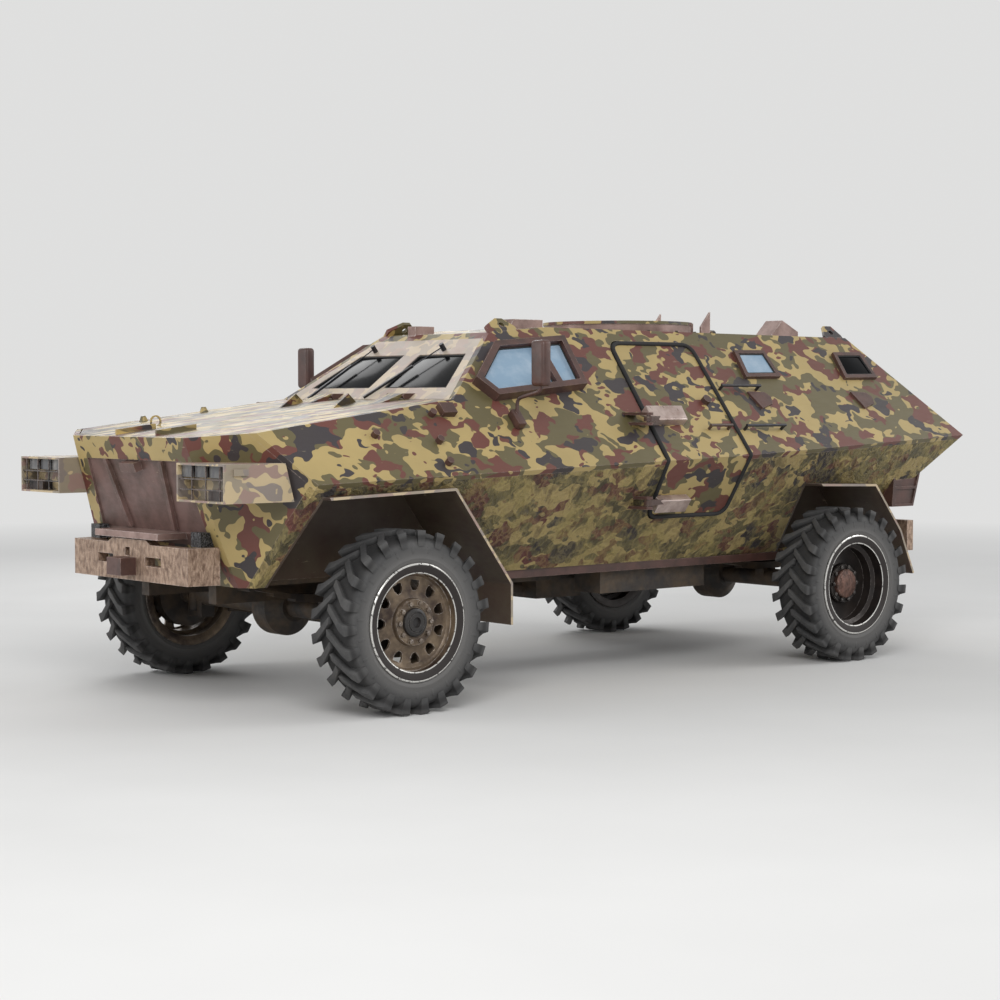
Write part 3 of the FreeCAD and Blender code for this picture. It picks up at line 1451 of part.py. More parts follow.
def wiper(pivot_y, pivot_z, tip_y, tip_z):
    """Wiper with its pivot, arm and blade."""
    seat = on_glass(pivot_y, pivot_z, 0)
    pivot = on_glass(pivot_y, pivot_z, wiper_stand_off)
    tip = on_glass(tip_y, tip_z, wiper_stand_off)
    reach = (tip - pivot).normalize() * (wiper_blade_length / 2)
    post = rod(seat, pivot + windscreen.normal * (3 * wiper_rod_radius), 2 * wiper_rod_radius)
    across = windscreen.normal.cross(reach).normalize() * wiper_rod_radius
    depth = windscreen.normal * (2 * wiper_rod_radius)
    corners = [tip - reach - across, tip + reach - across, tip + reach + across, tip - reach + across]
    blade = Part.Face(Part.makePolygon([c - depth / 2 for c in corners + corners[:1]])).extrude(depth)
    return joined([post, rod(pivot, tip, wiper_rod_radius / 2), blade])


keep("wipers",
     wiper(wiper_pivot_left_half_width, wiper_pivot_left_height,
           wiper_tip_left_half_width, wiper_tip_left_height),
     wiper(-wiper_pivot_right_half_width, wiper_pivot_right_height,
           -wiper_tip_right_half_width, wiper_tip_right_height))

# Bonnet lid, hinged at its rear edge
hinge_x = bonnet_hinge_reach
hinge_z = plane_height(bonnet, hinge_x) + bonnet_hinge_height

top_face = [face for face in bonnet_plate.Faces
            if face.normalAt(0, 0).getAngle(bonnet.normal) < side_toe_share]
lid_plate = top_face[0].makeOffset2D(-bonnet_gap).extrude(bonnet.normal * -armour)
for plane in (front, facet, opposite(facet)):
    lid_plate = lid_plate.cut(plane.sunk(armour + bonnet_gap).beyond())
lid_parts = [lid_plate.cut(box(foot_reach, hinge_x + bonnet_gap, -space, space, 0, space))]
for sign in (1, -1):
    low = sign * bonnet_bar_half_width - bonnet_bar_width / 2
    lid_parts.append(upright_prism([
        (bonnet_bar_rear_reach, plane_height(bonnet, bonnet_bar_rear_reach)),
        (bonnet_bar_front_reach, plane_height(bonnet, bonnet_bar_front_reach)),
        (bonnet_bar_front_reach, plane_height(bonnet, bonnet_bar_front_reach) + bonnet_bar_height),
        (bonnet_bar_rear_reach, plane_height(bonnet, bonnet_bar_rear_reach) + bonnet_bar_height)],
        low, low + bonnet_bar_width))
bracket_parts = []
lid_bores = []
for sign in (1, -1):
    low = sign * bonnet_hinge_half_width - bonnet_hinge_length / 2
    high = low + bonnet_hinge_length
    arm_end = hinge_x + bonnet_hinge_arm
    arm_foot = hinge_x + 2 * bonnet_hinge_radius
    lid_parts.append(upright_prism([
        (hinge_x, hinge_z + bonnet_hinge_radius), (hinge_x, hinge_z),
        (arm_foot, plane_height(bonnet, arm_foot)), (arm_end, plane_height(bonnet, arm_end))], low, high))
    lid_parts.append(cross_rod(hinge_x, hinge_z, low, high, bonnet_hinge_radius))
    pin_low = low - bonnet_gap - bonnet_hinge_radius
    pin_high = high + bonnet_gap + bonnet_hinge_radius
    lid_bores.append(cross_rod(hinge_x, hinge_z, pin_low, pin_high, bonnet_hinge_radius / 2 + running_gap))
    ear_pair = [cross_rod(hinge_x, hinge_z, pin_low, pin_high, bonnet_hinge_radius / 2)]
    for ear_low in (pin_low, high + bonnet_gap):
        ear = [(foot_reach, foot_height), (hinge_x, plane_height(bonnet, hinge_x)),
               (hinge_x + bonnet_hinge_radius, hinge_z), (hinge_x, hinge_z + bonnet_hinge_radius),
               (foot_reach - 4 * bonnet_hinge_radius, hinge_z + bonnet_hinge_radius)]
        ear_pair.append(upright_prism(ear, ear_low, ear_low + bonnet_hinge_radius).cut(cabin))
    bracket_parts.append(joined(ear_pair))
for reach in dome_reaches:
    foot = Vector(reach, -dome_half_width, plane_height(bonnet, reach))
    lid_parts.append(Part.makeCone(dome_radius, dome_radius / 2, dome_height, foot, bonnet.normal))
ring_foot = plane_height(bonnet, ring_reach)
ring = cross_rod(ring_reach, ring_foot + ring_radius - ring_bar, ring_offset - ring_bar / 2,
                 ring_offset + ring_bar / 2, ring_radius)
lid_parts.append(ring.cut(cross_rod(ring_reach, ring_foot + ring_radius - ring_bar, ring_offset - ring_bar,
                                    ring_offset + ring_bar, ring_radius - ring_bar)).cut(nose))
for offset in gusset_front_offsets:
    front_low = Vector(gusset_front_reach, offset, plane_height(bonnet, gusset_front_reach))
    rear_low = Vector(gusset_rear_reach, offset - gusset_run, plane_height(bonnet, gusset_rear_reach))
    peak = (front_low + rear_low * 2) * (1 / 3) + up * gusset_height
    sheet = Part.Face(Part.makePolygon([front_low, rear_low, peak, front_low]))
    lid_parts.append(sheet.extrude(cross * gusset_width))
lid_body = joined(lid_parts)
for bore in lid_bores:
    lid_body = lid_body.cut(bore)
keep("bonnet", lid_body)

# Rear door, hinged along its top edge
slope = (Vector(belt_tail_reach, 0, belt_tail_height) - Vector(roof_rear_reach, 0,
                                                               roof_rear_height)).normalize()
way_top = Vector(roof_rear_reach, 0, roof_rear_height) + slope * rear_door_margin


def rear_point(s, y, n):
    """Point on the rear upper plate: s down from the way's top edge, n out of the face."""
    return way_top + slope * s + cross * y + rear_upper.normal * n


def rear_block(outline, y_low, y_high):
    """Prism across the rear plate from (s, n) points."""
    points = [rear_point(s, y_low, n) for s, n in outline]
    face = Part.Face(Part.makePolygon(points + points[:1]))
    return face.extrude(cross * (y_high - y_low))


rear_parts = [rear_prism(rear_door_half_width - rear_door_gap, rear_door_margin + rear_door_gap, -armour, 0)]
rear_bores = []
ear_parts = []
for sign in (1, -1):
    low = sign * rear_hinge_half_width - rear_hinge_length / 2
    high = low + rear_hinge_length
    rear_parts.append(rear_block([(0, rear_hinge_proud + rear_hinge_radius), (0, rear_hinge_proud),
                                  (2 * rear_door_gap, 0), (rear_hinge_length, 0)], low, high))
    rear_parts.append(rod(rear_point(0, low, rear_hinge_proud), rear_point(0, high, rear_hinge_proud),
                          rear_hinge_radius))
    pin_ends = [rear_point(0, y, rear_hinge_proud) for y in (low - rear_hinge_radius,
                                                             high + rear_hinge_radius)]
    rear_bores.append(rod(pin_ends[0], pin_ends[1], rear_hinge_pin_radius + running_gap))
    ear_pair = [rod(pin_ends[0], pin_ends[1], rear_hinge_pin_radius)]
    for ear_low in (low - 2 * rear_hinge_radius, high + rear_hinge_radius):
        ear_pair.append(rear_block([(-2 * rear_hinge_proud, 0), (0, 0), (rear_hinge_radius,
                                                                         rear_hinge_proud),
                                    (0, rear_hinge_proud + rear_hinge_radius)],
                                   ear_low, ear_low + rear_hinge_radius))
    ear_parts.append(joined(ear_pair))
rear_door = joined(rear_parts)
for bore in rear_bores:
    rear_door = rear_door.cut(bore)
keep("rear_door", rear_door)
keep("hinge_brackets", *(door_brackets + [mirrored(bracket) for bracket in door_brackets] + ear_parts
                         + bracket_parts))

# Rear lamp boxes, bumper and towing jaw
lamp_box = upright_prism([(rear_box_front_reach, rear_box_head_height), (rear_box_rear_reach,
                                                                         rear_box_head_height),
                          (rear_box_rear_foot_reach, rear_box_foot_height),
                          (rear_box_front_foot_reach,
                           rear_box_foot_height)], 0, rear_box_half_width).cut(hull)
lamp_box = lamp_box.Solids[-1]
panel_rise = (rear_box_head_height - rear_box_foot_height - 3 * rear_panel_margin) / 2
for k in (0, 1):
    panel_low = rear_box_foot_height + rear_panel_margin + k * (panel_rise + rear_panel_margin)
    lean = (rear_box_rear_reach - rear_box_rear_foot_reach) / (rear_box_head_height - rear_box_foot_height)
    corners = []
    for height, margin in ((panel_low, -1), (panel_low, 1), (panel_low + panel_rise, 1),
                           (panel_low + panel_rise, -1)):
        rear_x = rear_box_rear_foot_reach + lean * (height - rear_box_foot_height)
        corners.append((rear_x + rear_panel_margin if margin < 0 else rear_box_front_foot_reach - 2 *
                        rear_panel_margin, height))
    lamp_box = lamp_box.cut(upright_prism(corners, rear_box_half_width - rear_panel_depth,
                                          rear_box_half_width + cut_over))
lamp_middle = rear_box_foot_height + rear_lamp_height_share * (rear_box_head_height - rear_box_foot_height)
lamp_y = rear_box_half_width - 2 * rear_lamp_radius
lamp_seat = rear_box_rear_foot_reach + lean * (lamp_middle - rear_box_foot_height)
lamp_box = lamp_box.fuse(Part.makeCylinder(rear_lamp_radius, 2 * rear_lamp_length,
                                           Vector(lamp_seat - rear_lamp_length, lamp_y, lamp_middle), along))
on_both_sides("rear_boxes", [lamp_box.removeSplitter()])
rear_bumper = box(rear_bumper_reach, rail_rear_reach, -rear_bumper_half_width, rear_bumper_half_width,
                  rear_bumper_foot_height, rear_bumper_head_height)
keep("bumper_rear", rear_bumper)
rear_tow_high = rear_bumper_head_height - rear_bumper_depth
rear_tow = box(rear_bumper_reach - rear_tow_depth, rear_bumper_reach, -rear_tow_width / 2,
               rear_tow_width / 2,
               rear_tow_high - rear_tow_height, rear_tow_high)
rear_tow_bore = Part.makeCylinder(tow_bore_radius, space,
                                  Vector(rear_bumper_reach - rear_tow_depth + tow_bore_margin, 0, 0))
keep("tow_jaw_rear", rear_tow.cut(rear_tow_bore))

# Crew space: chairs, benches, dash and steering wheel
deck = floor_height + floor_thickness
chairs = []
cushions = []
for middle in (chair_half_track, -chair_half_track):
    stem = box(chair_reach, chair_reach + chair_length, middle - chair_stem_width / 2,
               middle + chair_stem_width / 2, deck, chair_seat_height - cushion_thickness)
    chairs.append(stem)
    low = middle - chair_width / 2
    back_x = chair_reach
    cushions.append(upright_prism([
        (back_x, chair_seat_height - cushion_thickness),
        (back_x + chair_length, chair_seat_height - cushion_thickness),
        (back_x + chair_length, chair_seat_height), (back_x + cushion_thickness, chair_seat_height),
        (back_x + cushion_thickness - chair_back_lean, chair_seat_height + chair_back_height),
        (back_x - chair_back_lean, chair_seat_height + chair_back_height)], low, low + chair_width))
bench_top = front_arch_rear_height
benches = [box(bench_rear_reach, bench_front_reach, bench_inner_half_width, bench_outer_half_width,
               deck, bench_top - cushion_thickness)]
bench_pads = [box(bench_rear_reach, bench_front_reach, bench_inner_half_width, bench_outer_half_width,
                  bench_top - cushion_thickness, bench_top)]
keep("chair_and_bench_frames", *(chairs + benches + [mirrored(bench) for bench in benches]))
keep("crew_cushions", *(cushions + bench_pads + [mirrored(pad) for pad in bench_pads]))
dash = box(foot_reach - dash_depth, foot_reach, -dash_half_width, dash_half_width,
           dash_foot_height, dash_head_height).common(enclosed(cabin, [windscreen.sunk(armour)]))
lean = math.radians(steering_lean_degrees)
column_way = Vector(-math.cos(lean), 0, math.sin(lean))
wheel_middle = Vector(steering_wheel_reach, chair_half_track, steering_wheel_height)
column = rod(wheel_middle, wheel_middle - column_way * dash_depth, steering_column_radius)
ring_shape = Part.makeTorus(steering_wheel_radius, steering_wheel_rim_radius, wheel_middle, column_way)
spokes = []
side_way = column_way.cross(cross)
for k in range(wheel_spokes):
    angle = 2 * math.pi * k / wheel_spokes
    reach = (cross * math.cos(angle) + side_way * math.sin(angle)) * steering_wheel_radius
    spokes.append(rod(wheel_middle, wheel_middle + reach, steering_wheel_rim_radius))
keep("dashboard", joined([dash, column, ring_shape] + spokes))


for name, body in pieces.items():
    bad = "" if body.isValid() else "  not valid"
    print(name, len(body.Solids), round(body.Volume), bad)
    body.exportStep("parts/" + name + ".step")
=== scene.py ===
"""Looks of a four-wheel-drive armoured personnel vehicle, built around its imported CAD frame."""

import json
import logging
import math
from collections.abc import Callable, Container, Iterable, Sequence
from dataclasses import dataclass
from enum import Enum

import bpy
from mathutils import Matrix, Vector

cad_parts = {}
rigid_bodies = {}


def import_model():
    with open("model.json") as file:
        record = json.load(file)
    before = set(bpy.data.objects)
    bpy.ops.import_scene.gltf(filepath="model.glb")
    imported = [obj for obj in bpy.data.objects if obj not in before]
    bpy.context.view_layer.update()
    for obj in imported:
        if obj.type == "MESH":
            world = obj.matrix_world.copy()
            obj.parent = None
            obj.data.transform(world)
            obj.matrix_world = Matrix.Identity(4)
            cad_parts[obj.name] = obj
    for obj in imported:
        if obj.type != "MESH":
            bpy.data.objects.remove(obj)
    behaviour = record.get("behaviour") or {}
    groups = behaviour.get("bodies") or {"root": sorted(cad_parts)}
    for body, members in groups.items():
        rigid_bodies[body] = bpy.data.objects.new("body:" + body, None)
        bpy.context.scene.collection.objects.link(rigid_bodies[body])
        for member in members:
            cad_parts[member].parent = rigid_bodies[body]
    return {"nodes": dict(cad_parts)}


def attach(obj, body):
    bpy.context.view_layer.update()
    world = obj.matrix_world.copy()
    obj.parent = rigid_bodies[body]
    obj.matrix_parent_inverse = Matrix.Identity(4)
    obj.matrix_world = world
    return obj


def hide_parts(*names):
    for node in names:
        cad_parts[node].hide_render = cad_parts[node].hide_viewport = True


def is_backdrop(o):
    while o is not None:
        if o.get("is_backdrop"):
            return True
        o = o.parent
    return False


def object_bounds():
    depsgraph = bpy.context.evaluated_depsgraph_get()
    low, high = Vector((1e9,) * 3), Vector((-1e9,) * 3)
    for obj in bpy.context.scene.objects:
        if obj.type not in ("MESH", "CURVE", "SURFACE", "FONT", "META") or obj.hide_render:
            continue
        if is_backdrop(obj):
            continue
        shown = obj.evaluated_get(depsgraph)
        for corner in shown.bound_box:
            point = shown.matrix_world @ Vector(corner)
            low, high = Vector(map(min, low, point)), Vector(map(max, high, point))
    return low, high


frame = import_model()

LOG = logging.getLogger("vehicle")
MIDDLE_REACH = 1.665
AXLE_HEIGHT = 468.0
WHEELBASE = 3400.0
Socket = bpy.types.NodeSocket
Colour = tuple[float, float, float]
Shade = tuple[int, int, int]
Place = tuple[float, float, float]
Place2 = tuple[float, float]
Zone = tuple[Place, Place]


def spot(x: float, y: float, z: float) -> Vector:
    """Place in the frame of a point measured in millimetres from the rear axle.

    Args:
        x: Forward distance from the rear axle.
        y: Distance to the left of the middle.
        z: Height above the road.

    Returns:
        The point in metres.
    """
    return Vector((x / 1000 - MIDDLE_REACH, y / 1000, z / 1000))


def paint(red: int, green: int, blue: int) -> Colour:
    """Linear colour of an 8-bit display colour.

    Args:
        red: Red share, 0 to 255.
        green: Green share, 0 to 255.
        blue: Blue share, 0 to 255.

    Returns:
        The three linear shares.
    """
    shares = [c / 255 for c in (red, green, blue)]
    linear = [s / 12.92 if s < 0.04045 else ((s + 0.055) / 1.055) ** 2.4 for s in shares]
    return linear[0], linear[1], linear[2]


# Finishes


class Nodes:
    """A node tree, with short names for the nodes that its owner uses."""

    def __init__(self, tree: bpy.types.NodeTree) -> None:
        """Work on a node tree.

        Args:
            tree: The tree.
        """
        self.nodes = tree.nodes
        self.links = tree.links

    def feed(self, socket: Socket, value: object) -> None:
        """Link a socket to a node's output, or set its value.

        Args:
            socket: The input.
            value: A socket, a number, or a colour or vector.
        """
        if isinstance(value, bpy.types.NodeSocket):
            self.links.new(value, socket)
        elif isinstance(value, tuple) and len(value) == 3 and len(socket.default_value) == 4:
            socket.default_value = (*value, 1.0)
        else:
            socket.default_value = value

    def add(self, kind: str, **sockets: object) -> bpy.types.Node:
        """New node with its inputs fed.

        Args:
            kind: Type of the node, without the words that all shader nodes start with.
            **sockets: Input names with underscores for spaces, and their values.

        Returns:
            The node.
        """
        node = self.nodes.new("ShaderNode" + kind)
        for name, value in sockets.items():
            self.feed(node.inputs[name.replace("_", " ")], value)
        return node

    def sum(self, kind: str, first: object, second: object = 0.0, third: object = 0.0) -> Socket:
        """One step of arithmetic on values.

        Args:
            kind: Operation of the Math node.
            first: First value.
            second: Second value.
            third: Third value.

        Returns:
            The result.
        """
        node = self.add("Math")
        node.operation = kind
        for socket, value in zip(node.inputs, (first, second, third)):
            self.feed(socket, value)
        return node.outputs["Value"]

    def blend(self, share: Socket, first: Socket, second: Socket) -> Socket:
        """Mix two shaders by a share.

        Args:
            share: How much of the second shows.
            first: First shader.
            second: Second shader.

        Returns:
            The mixed shader.
        """
        node = self.add("MixShader", Fac=share)
        self.feed(node.inputs[1], first)
        self.feed(node.inputs[2], second)
        return node.outputs["Shader"]

    def seen(self) -> Socket:
        """1 for the rays that see the background, and 0 for those that light the vehicle.

        Returns:
            The share.
        """
        rays = self.add("LightPath").outputs
        mirrored = self.sum("MAXIMUM", rays["Is Camera Ray"], rays["Is Glossy Ray"])
        return self.sum("MAXIMUM", mirrored, rays["Is Transmission Ray"])


class Recipe(Nodes):
    """Node tree of one finish, round its Principled shader."""

    def __init__(self, name: str) -> None:
        """Start a material.

        Args:
            name: Name of the material.
        """
        self.material = bpy.data.materials.new(name)
        self.material.use_nodes = True
        super().__init__(self.material.node_tree)
        self.shader = self.nodes["Principled BSDF"]
        self.place = self.add("TexCoord").outputs["Object"]

    def mapped(self, stretch: Place, turn: Place = (0, 0, 0), shift: Place = (0, 0, 0)) -> Socket:
        """Object coordinates, turned and stretched.

        Args:
            stretch: Scale along each axis.
            turn: Turn about each axis, in degrees.
            shift: Offset along each axis.

        Returns:
            The mapped coordinates.
        """
        turns = [math.radians(degrees) for degrees in turn]
        node = self.add("Mapping", Vector=self.place, Location=shift, Rotation=turns, Scale=stretch)
        return node.outputs["Vector"]

    def noise(self, scale: float, detail: float = 2.0, rough: float = 0.5, source: Socket | None = None,
              colour: bool = False, twist: float = 0.0) -> Socket:
        """Noise pattern.

        Args:
            scale: Patches per metre.
            detail: Octaves.
            rough: Strength of the fine octaves.
            source: Coordinates, or the object's own.
            colour: Whether the three-channel output is wanted.
            twist: Distortion of the pattern.

        Returns:
            The pattern's value, about 0 to 1.
        """
        node = self.add("TexNoise", Vector=source or self.place, Scale=scale, Detail=detail, Roughness=rough,
                        Distortion=twist)
        return node.outputs["Color" if colour else "Fac"]

    def vector(self, kind: str, first: object, second: object = (0.0, 0.0, 0.0)) -> bpy.types.Node:
        """One step of arithmetic on vectors.

        Args:
            kind: Operation of the Vector Math node.
            first: First vector.
            second: Second vector.

        Returns:
            The node.
        """
        node = self.add("VectorMath")
        node.operation = kind
        self.feed(node.inputs[0], first)
        self.feed(node.inputs[1], second)
        return node

    def band(self, value: Socket, low: float, high: float, start: float = 0.0, end: float = 1.0) -> Socket:
        """Map a value between two limits, held at both ends.

        Args:
            value: The value.
            low: Lower limit.
            high: Upper limit.
            start: Result at the lower limit.
            end: Result at the upper limit.

        Returns:
            The mapped value.
        """
        node = self.add("MapRange", Value=value, From_Min=low, From_Max=high, To_Min=start, To_Max=end)
        return node.outputs["Result"]

    def mix(self, share: object, first: object, second: object) -> Socket:
        """Mix two colours by a share.

        Args:
            share: How much of the second shows.
            first: First colour.
            second: Second colour.

        Returns:
            The mixed colour.
        """
        node = self.add("Mix")
        node.data_type = "RGBA"
        self.feed(node.inputs[0], share)
        self.feed(node.inputs[6], first)
        self.feed(node.inputs[7], second)
        return node.outputs[2]

    def edges(self, radius: float, low: float = 0.02, high: float = 0.25) -> Socket:
        """Mask of the piece's edges, broken up by fine noise.

        Args:
            radius: Width of the worn edge in metres.
            low: Turn of the surface where wear starts.
            high: Turn of the surface where it is full.

        Returns:
            0 on flat faces and up to 1 at edges.
        """
        bevel = self.add("Bevel", Radius=radius)
        bevel.samples = 4
        flat = self.add("NewGeometry").outputs["Normal"]
        turned = self.vector("DOT_PRODUCT", bevel.outputs["Normal"], flat).outputs["Value"]
        bent = self.band(self.sum("SUBTRACT", 1.0, turned), low, high)
        return self.sum("MULTIPLY", bent, self.band(self.noise(34, 4, 0.65), 0.38, 0.62))

    def reach(self, hub: Place2) -> Socket:
        """Distance from a wheel's axis.

        Args:
            hub: Place of the axis, forward and up.

        Returns:
            The distance in metres.
        """
        apart = self.vector("SUBTRACT", self.place, (hub[0], 0.0, hub[1])).outputs["Vector"]
        flat = self.vector("MULTIPLY", apart, (1.0, 0.0, 1.0)).outputs["Vector"]
        return self.vector("LENGTH", flat).outputs["Value"]

    def inside(self, zones: Sequence[Zone], lean: float = 0.0) -> Socket:
        """Mask of boxes on both sides of the vehicle.

        Args:
            zones: Lowest and highest corner of each box on the left side, in millimetres from the rear axle.
            lean: Growth of the sideways reach for each millimetre below the box's top.

        Returns:
            1 inside any of the boxes and 0 elsewhere.
        """
        x, y, z = self.add("SeparateXYZ", Vector=self.place).outputs
        aside = self.sum("ABSOLUTE", y)
        total: object = 0.0
        for low, high in zones:
            bottom, top = spot(*low), spot(*high)
            drop = self.sum("SUBTRACT", z, top.z)
            reach = self.sum("ADD", aside, self.sum("MULTIPLY", drop, lean))
            share: object = 1.0
            for socket, first, last in zip((x, reach, z), bottom, top):
                near = self.sum("COMPARE", socket, (first + last) / 2, (last - first) / 2)
                share = self.sum("MULTIPLY", share, near)
            total = self.sum("MAXIMUM", total, share)
        return total

    def bump(self, height: Socket, distance: float, strength: float = 1.0,
             under: Socket | None = None) -> Socket:
        """Bumped normal.

        Args:
            height: Height pattern.
            distance: Height of the pattern in metres.
            strength: Share of the bump that is used.
            under: Normal that the bump is laid on.

        Returns:
            The new normal.
        """
        node = self.add("Bump", Distance=distance, Strength=strength, Height=height)
        if under:
            self.feed(node.inputs["Normal"], under)
        return node.outputs["Normal"]

    def settle(self, **sockets: object) -> bpy.types.Material:
        """Set the shader's sockets and return the material.

        Args:
            **sockets: Socket names with underscores for spaces, and their values.

        Returns:
            The finished material.
        """
        for name, value in sockets.items():
            self.feed(self.shader.inputs[name.replace("_", " ")], value)
        return self.material


class Coat(Enum):
    """How the paint lies on the plate."""

    SATIN = "satin"
    MUDDY = "muddy"
    STREAKED = "streaked"


SAND = paint(184, 161, 106)
OLIVE = paint(100, 91, 60)
RUST = paint(106, 58, 50)
SLATE = paint(54, 48, 52)
# Colour, patches per metre, noise above which the colour lies, and offset of its pattern
BLOTCH_ROWS = ((OLIVE, 8.6, 0.5, 3.1), (RUST, 8.6, 0.575, 9.4), (SLATE, 7.6, 0.62, 17.7))


@dataclass(frozen=True)
class Blotches:
    """Four-colour camouflage paint on armour plate.

    The zones are plain soiled paint; on the wheel arches all but their outer lips are the same plain soiled
    mix in a dark brown, its darkness painted shade.
    """

    name: str
    coat: Coat = Coat.SATIN
    # Share of pale pink over the paint: painted highlight on the windscreen plate and lamp pods, paler outer
    # lips on the wheel arches
    paling: float = 0.0
    shift: float = 0.0
    zones: tuple[Zone, ...] = ()
    lean: float = 0.0
    # Plain colour of the zones; on the wheel arches a dark brown whose darkness is painted shade on their
    # inner faces
    plain: Shade = (116, 90, 84)
    lips_only: bool = False
    waviness: float = 0.1
    rim_blur: float = 0.006

    def _blotches(self, mix: Recipe) -> Socket:
        """The four colours with their wavy outlines, a little darkened in clouds, and paled towards pale pink
        by a share: a painted highlight on the windscreen plate and the lamp pods, paler outer lips on the
        wheel arches.

        Args:
            mix: The node tree.

        Returns:
            The paint's colour.
        """
        stretch = (0.38, 1.0, 1.0) if self.coat is Coat.STREAKED else (0.8, 1.0, 1.0)
        ground = mix.mapped(stretch, (0, 0, 12), (self.shift, 0, 0))
        lobes = mix.vector("SUBTRACT", mix.noise(19, 0.0, 0.5, ground, True), (0.5, 0.5, 0.5))
        scaled = mix.vector("SCALE", lobes.outputs["Vector"])
        scaled.inputs["Scale"].default_value = self.waviness
        warped = mix.vector("ADD", ground, scaled.outputs["Vector"]).outputs["Vector"]
        colour: object = SAND
        for tint, scale, limit, offset in BLOTCH_ROWS:
            moved = mix.vector("ADD", warped, (offset, offset * 0.7, offset * 1.3)).outputs["Vector"]
            share = mix.band(mix.noise(scale, 0.6, 0.4, moved), limit, limit + self.rim_blur)
            colour = mix.mix(share, colour, tint)
        colour = mix.mix(mix.band(mix.noise(2.2, 5, 0.6), 0.3, 0.75, 0.0, 0.22), colour, paint(74, 66, 44))
        # Pale pink mixed in by that share: painted highlight on the windscreen plate and lamp pods
        return mix.mix(self.paling, colour, paint(214, 198, 184)) if self.paling else colour

    def _outer_lips(self, mix: Recipe) -> Socket:
        """Mask of the upright faces at the vehicle's outer sides.

        Args:
            mix: The node tree.

        Returns:
            1 on those faces and 0 elsewhere.
        """
        normal = mix.add("NewGeometry").outputs["Normal"]
        facing, aside = (mix.vector("DOT_PRODUCT", mix.vector("ABSOLUTE", source).outputs["Vector"],
                                    (0.0, 1.0, 0.0)).outputs["Value"] for source in (normal, mix.place))
        return mix.sum("MULTIPLY", mix.band(facing, 0.8, 0.85), mix.band(aside, 1.0, 1.01))

    def make(self) -> bpy.types.Material:
        """Build the material.

        Returns:
            The finished material.
        """
        mix = Recipe(self.name)
        colour = self._blotches(mix)
        if self.zones or self.lips_only:
            plain_soil_and_shade = mix.mix(mix.band(mix.noise(6, 6, 0.62), 0.4, 0.68), paint(*self.plain),
                             paint(78, 60, 52))
            if self.zones:
                colour = mix.mix(mix.inside(self.zones, self.lean), colour, plain_soil_and_shade)
            else:
                # Wheel arches: camouflage on the outer lips only, and a plain dark brown as painted shade on
                # the inner faces
                colour = mix.mix(self._outer_lips(mix), plain_soil_and_shade, colour)
        worn = mix.edges(0.006)
        if self.coat is Coat.MUDDY:
            return self._muddy(mix, colour, worn)
        if self.coat is Coat.STREAKED:
            streaks = mix.noise(22, 3, 0.6, mix.mapped((0.12, 1, 1)))
            colour = mix.mix(mix.band(streaks, 0.52, 0.64, 0.0, 0.7), colour, paint(84, 70, 40))
            colour = mix.mix(mix.band(streaks, 0.36, 0.46, 0.5, 0.0), colour, paint(206, 176, 106))
        scuffs = mix.noise(9, 6, 0.7, mix.mapped((1, 1, 5), (20, 30, 0)))
        colour = mix.mix(mix.band(scuffs, 0.66, 0.72, 0.0, 0.3), colour, paint(206, 190, 160))
        colour = mix.mix(mix.sum("MULTIPLY", worn, 0.75), colour, paint(176, 160, 150))
        rough = mix.band(scuffs, 0.3, 0.7, 0.38, 0.56)
        dents = mix.bump(mix.noise(3.2, 2, 0.5), 0.004, 0.35)
        grain = mix.bump(mix.noise(420, 2, 0.5), 0.0004, 0.35, dents)
        return mix.settle(Base_Color=colour, Roughness=rough, Normal=grain)

    def _muddy(self, mix: Recipe, colour: Socket, worn: Socket) -> bpy.types.Material:
        """Rough plate below the belt, with dried mud in slanted patches, and creased runs of relief with a
        painted highlight on their ridges and painted shade on one side of them.

        Args:
            mix: The node tree so far.
            colour: The paint's colour.
            worn: Mask of the worn edges.

        Returns:
            The finished material.
        """
        slanted = mix.mapped((1.0, 1.0, 0.55), (0, 38, 0))
        crease = mix.noise(13, 7, 0.6, slanted, twist=0.25)
        ridge = mix.band(mix.sum("ABSOLUTE", mix.sum("SUBTRACT", crease, 0.5)), 0.0, 0.14, 1.0, 0.0)
        lumps = mix.noise(46, 5, 0.6, slanted)
        mud = mix.band(mix.noise(3.1, 4, 0.62, slanted), 0.46, 0.62)
        mud = mix.sum("MULTIPLY", mud, mix.band(lumps, 0.35, 0.6, 0.35, 0.85))
        colour = mix.mix(mud, colour, paint(158, 142, 84))
        # Pale along the ridges of the relief: painted highlight
        colour = mix.mix(mix.band(ridge, 0.55, 1.0, 0.0, 0.28), colour, paint(196, 176, 112))
        # Dark on one side of the ridges: painted shade
        colour = mix.mix(mix.band(crease, 0.34, 0.48, 0.6, 0.0), colour, paint(48, 40, 26))
        height = mix.sum("ADD", mix.sum("MULTIPLY", ridge, 0.55), mix.sum("MULTIPLY", lumps, 0.7))
        colour = mix.mix(mix.sum("MULTIPLY", worn, 0.5), colour, paint(176, 160, 130))
        return mix.settle(Base_Color=colour, Roughness=0.55, Normal=mix.bump(height, 0.024, 1.0))


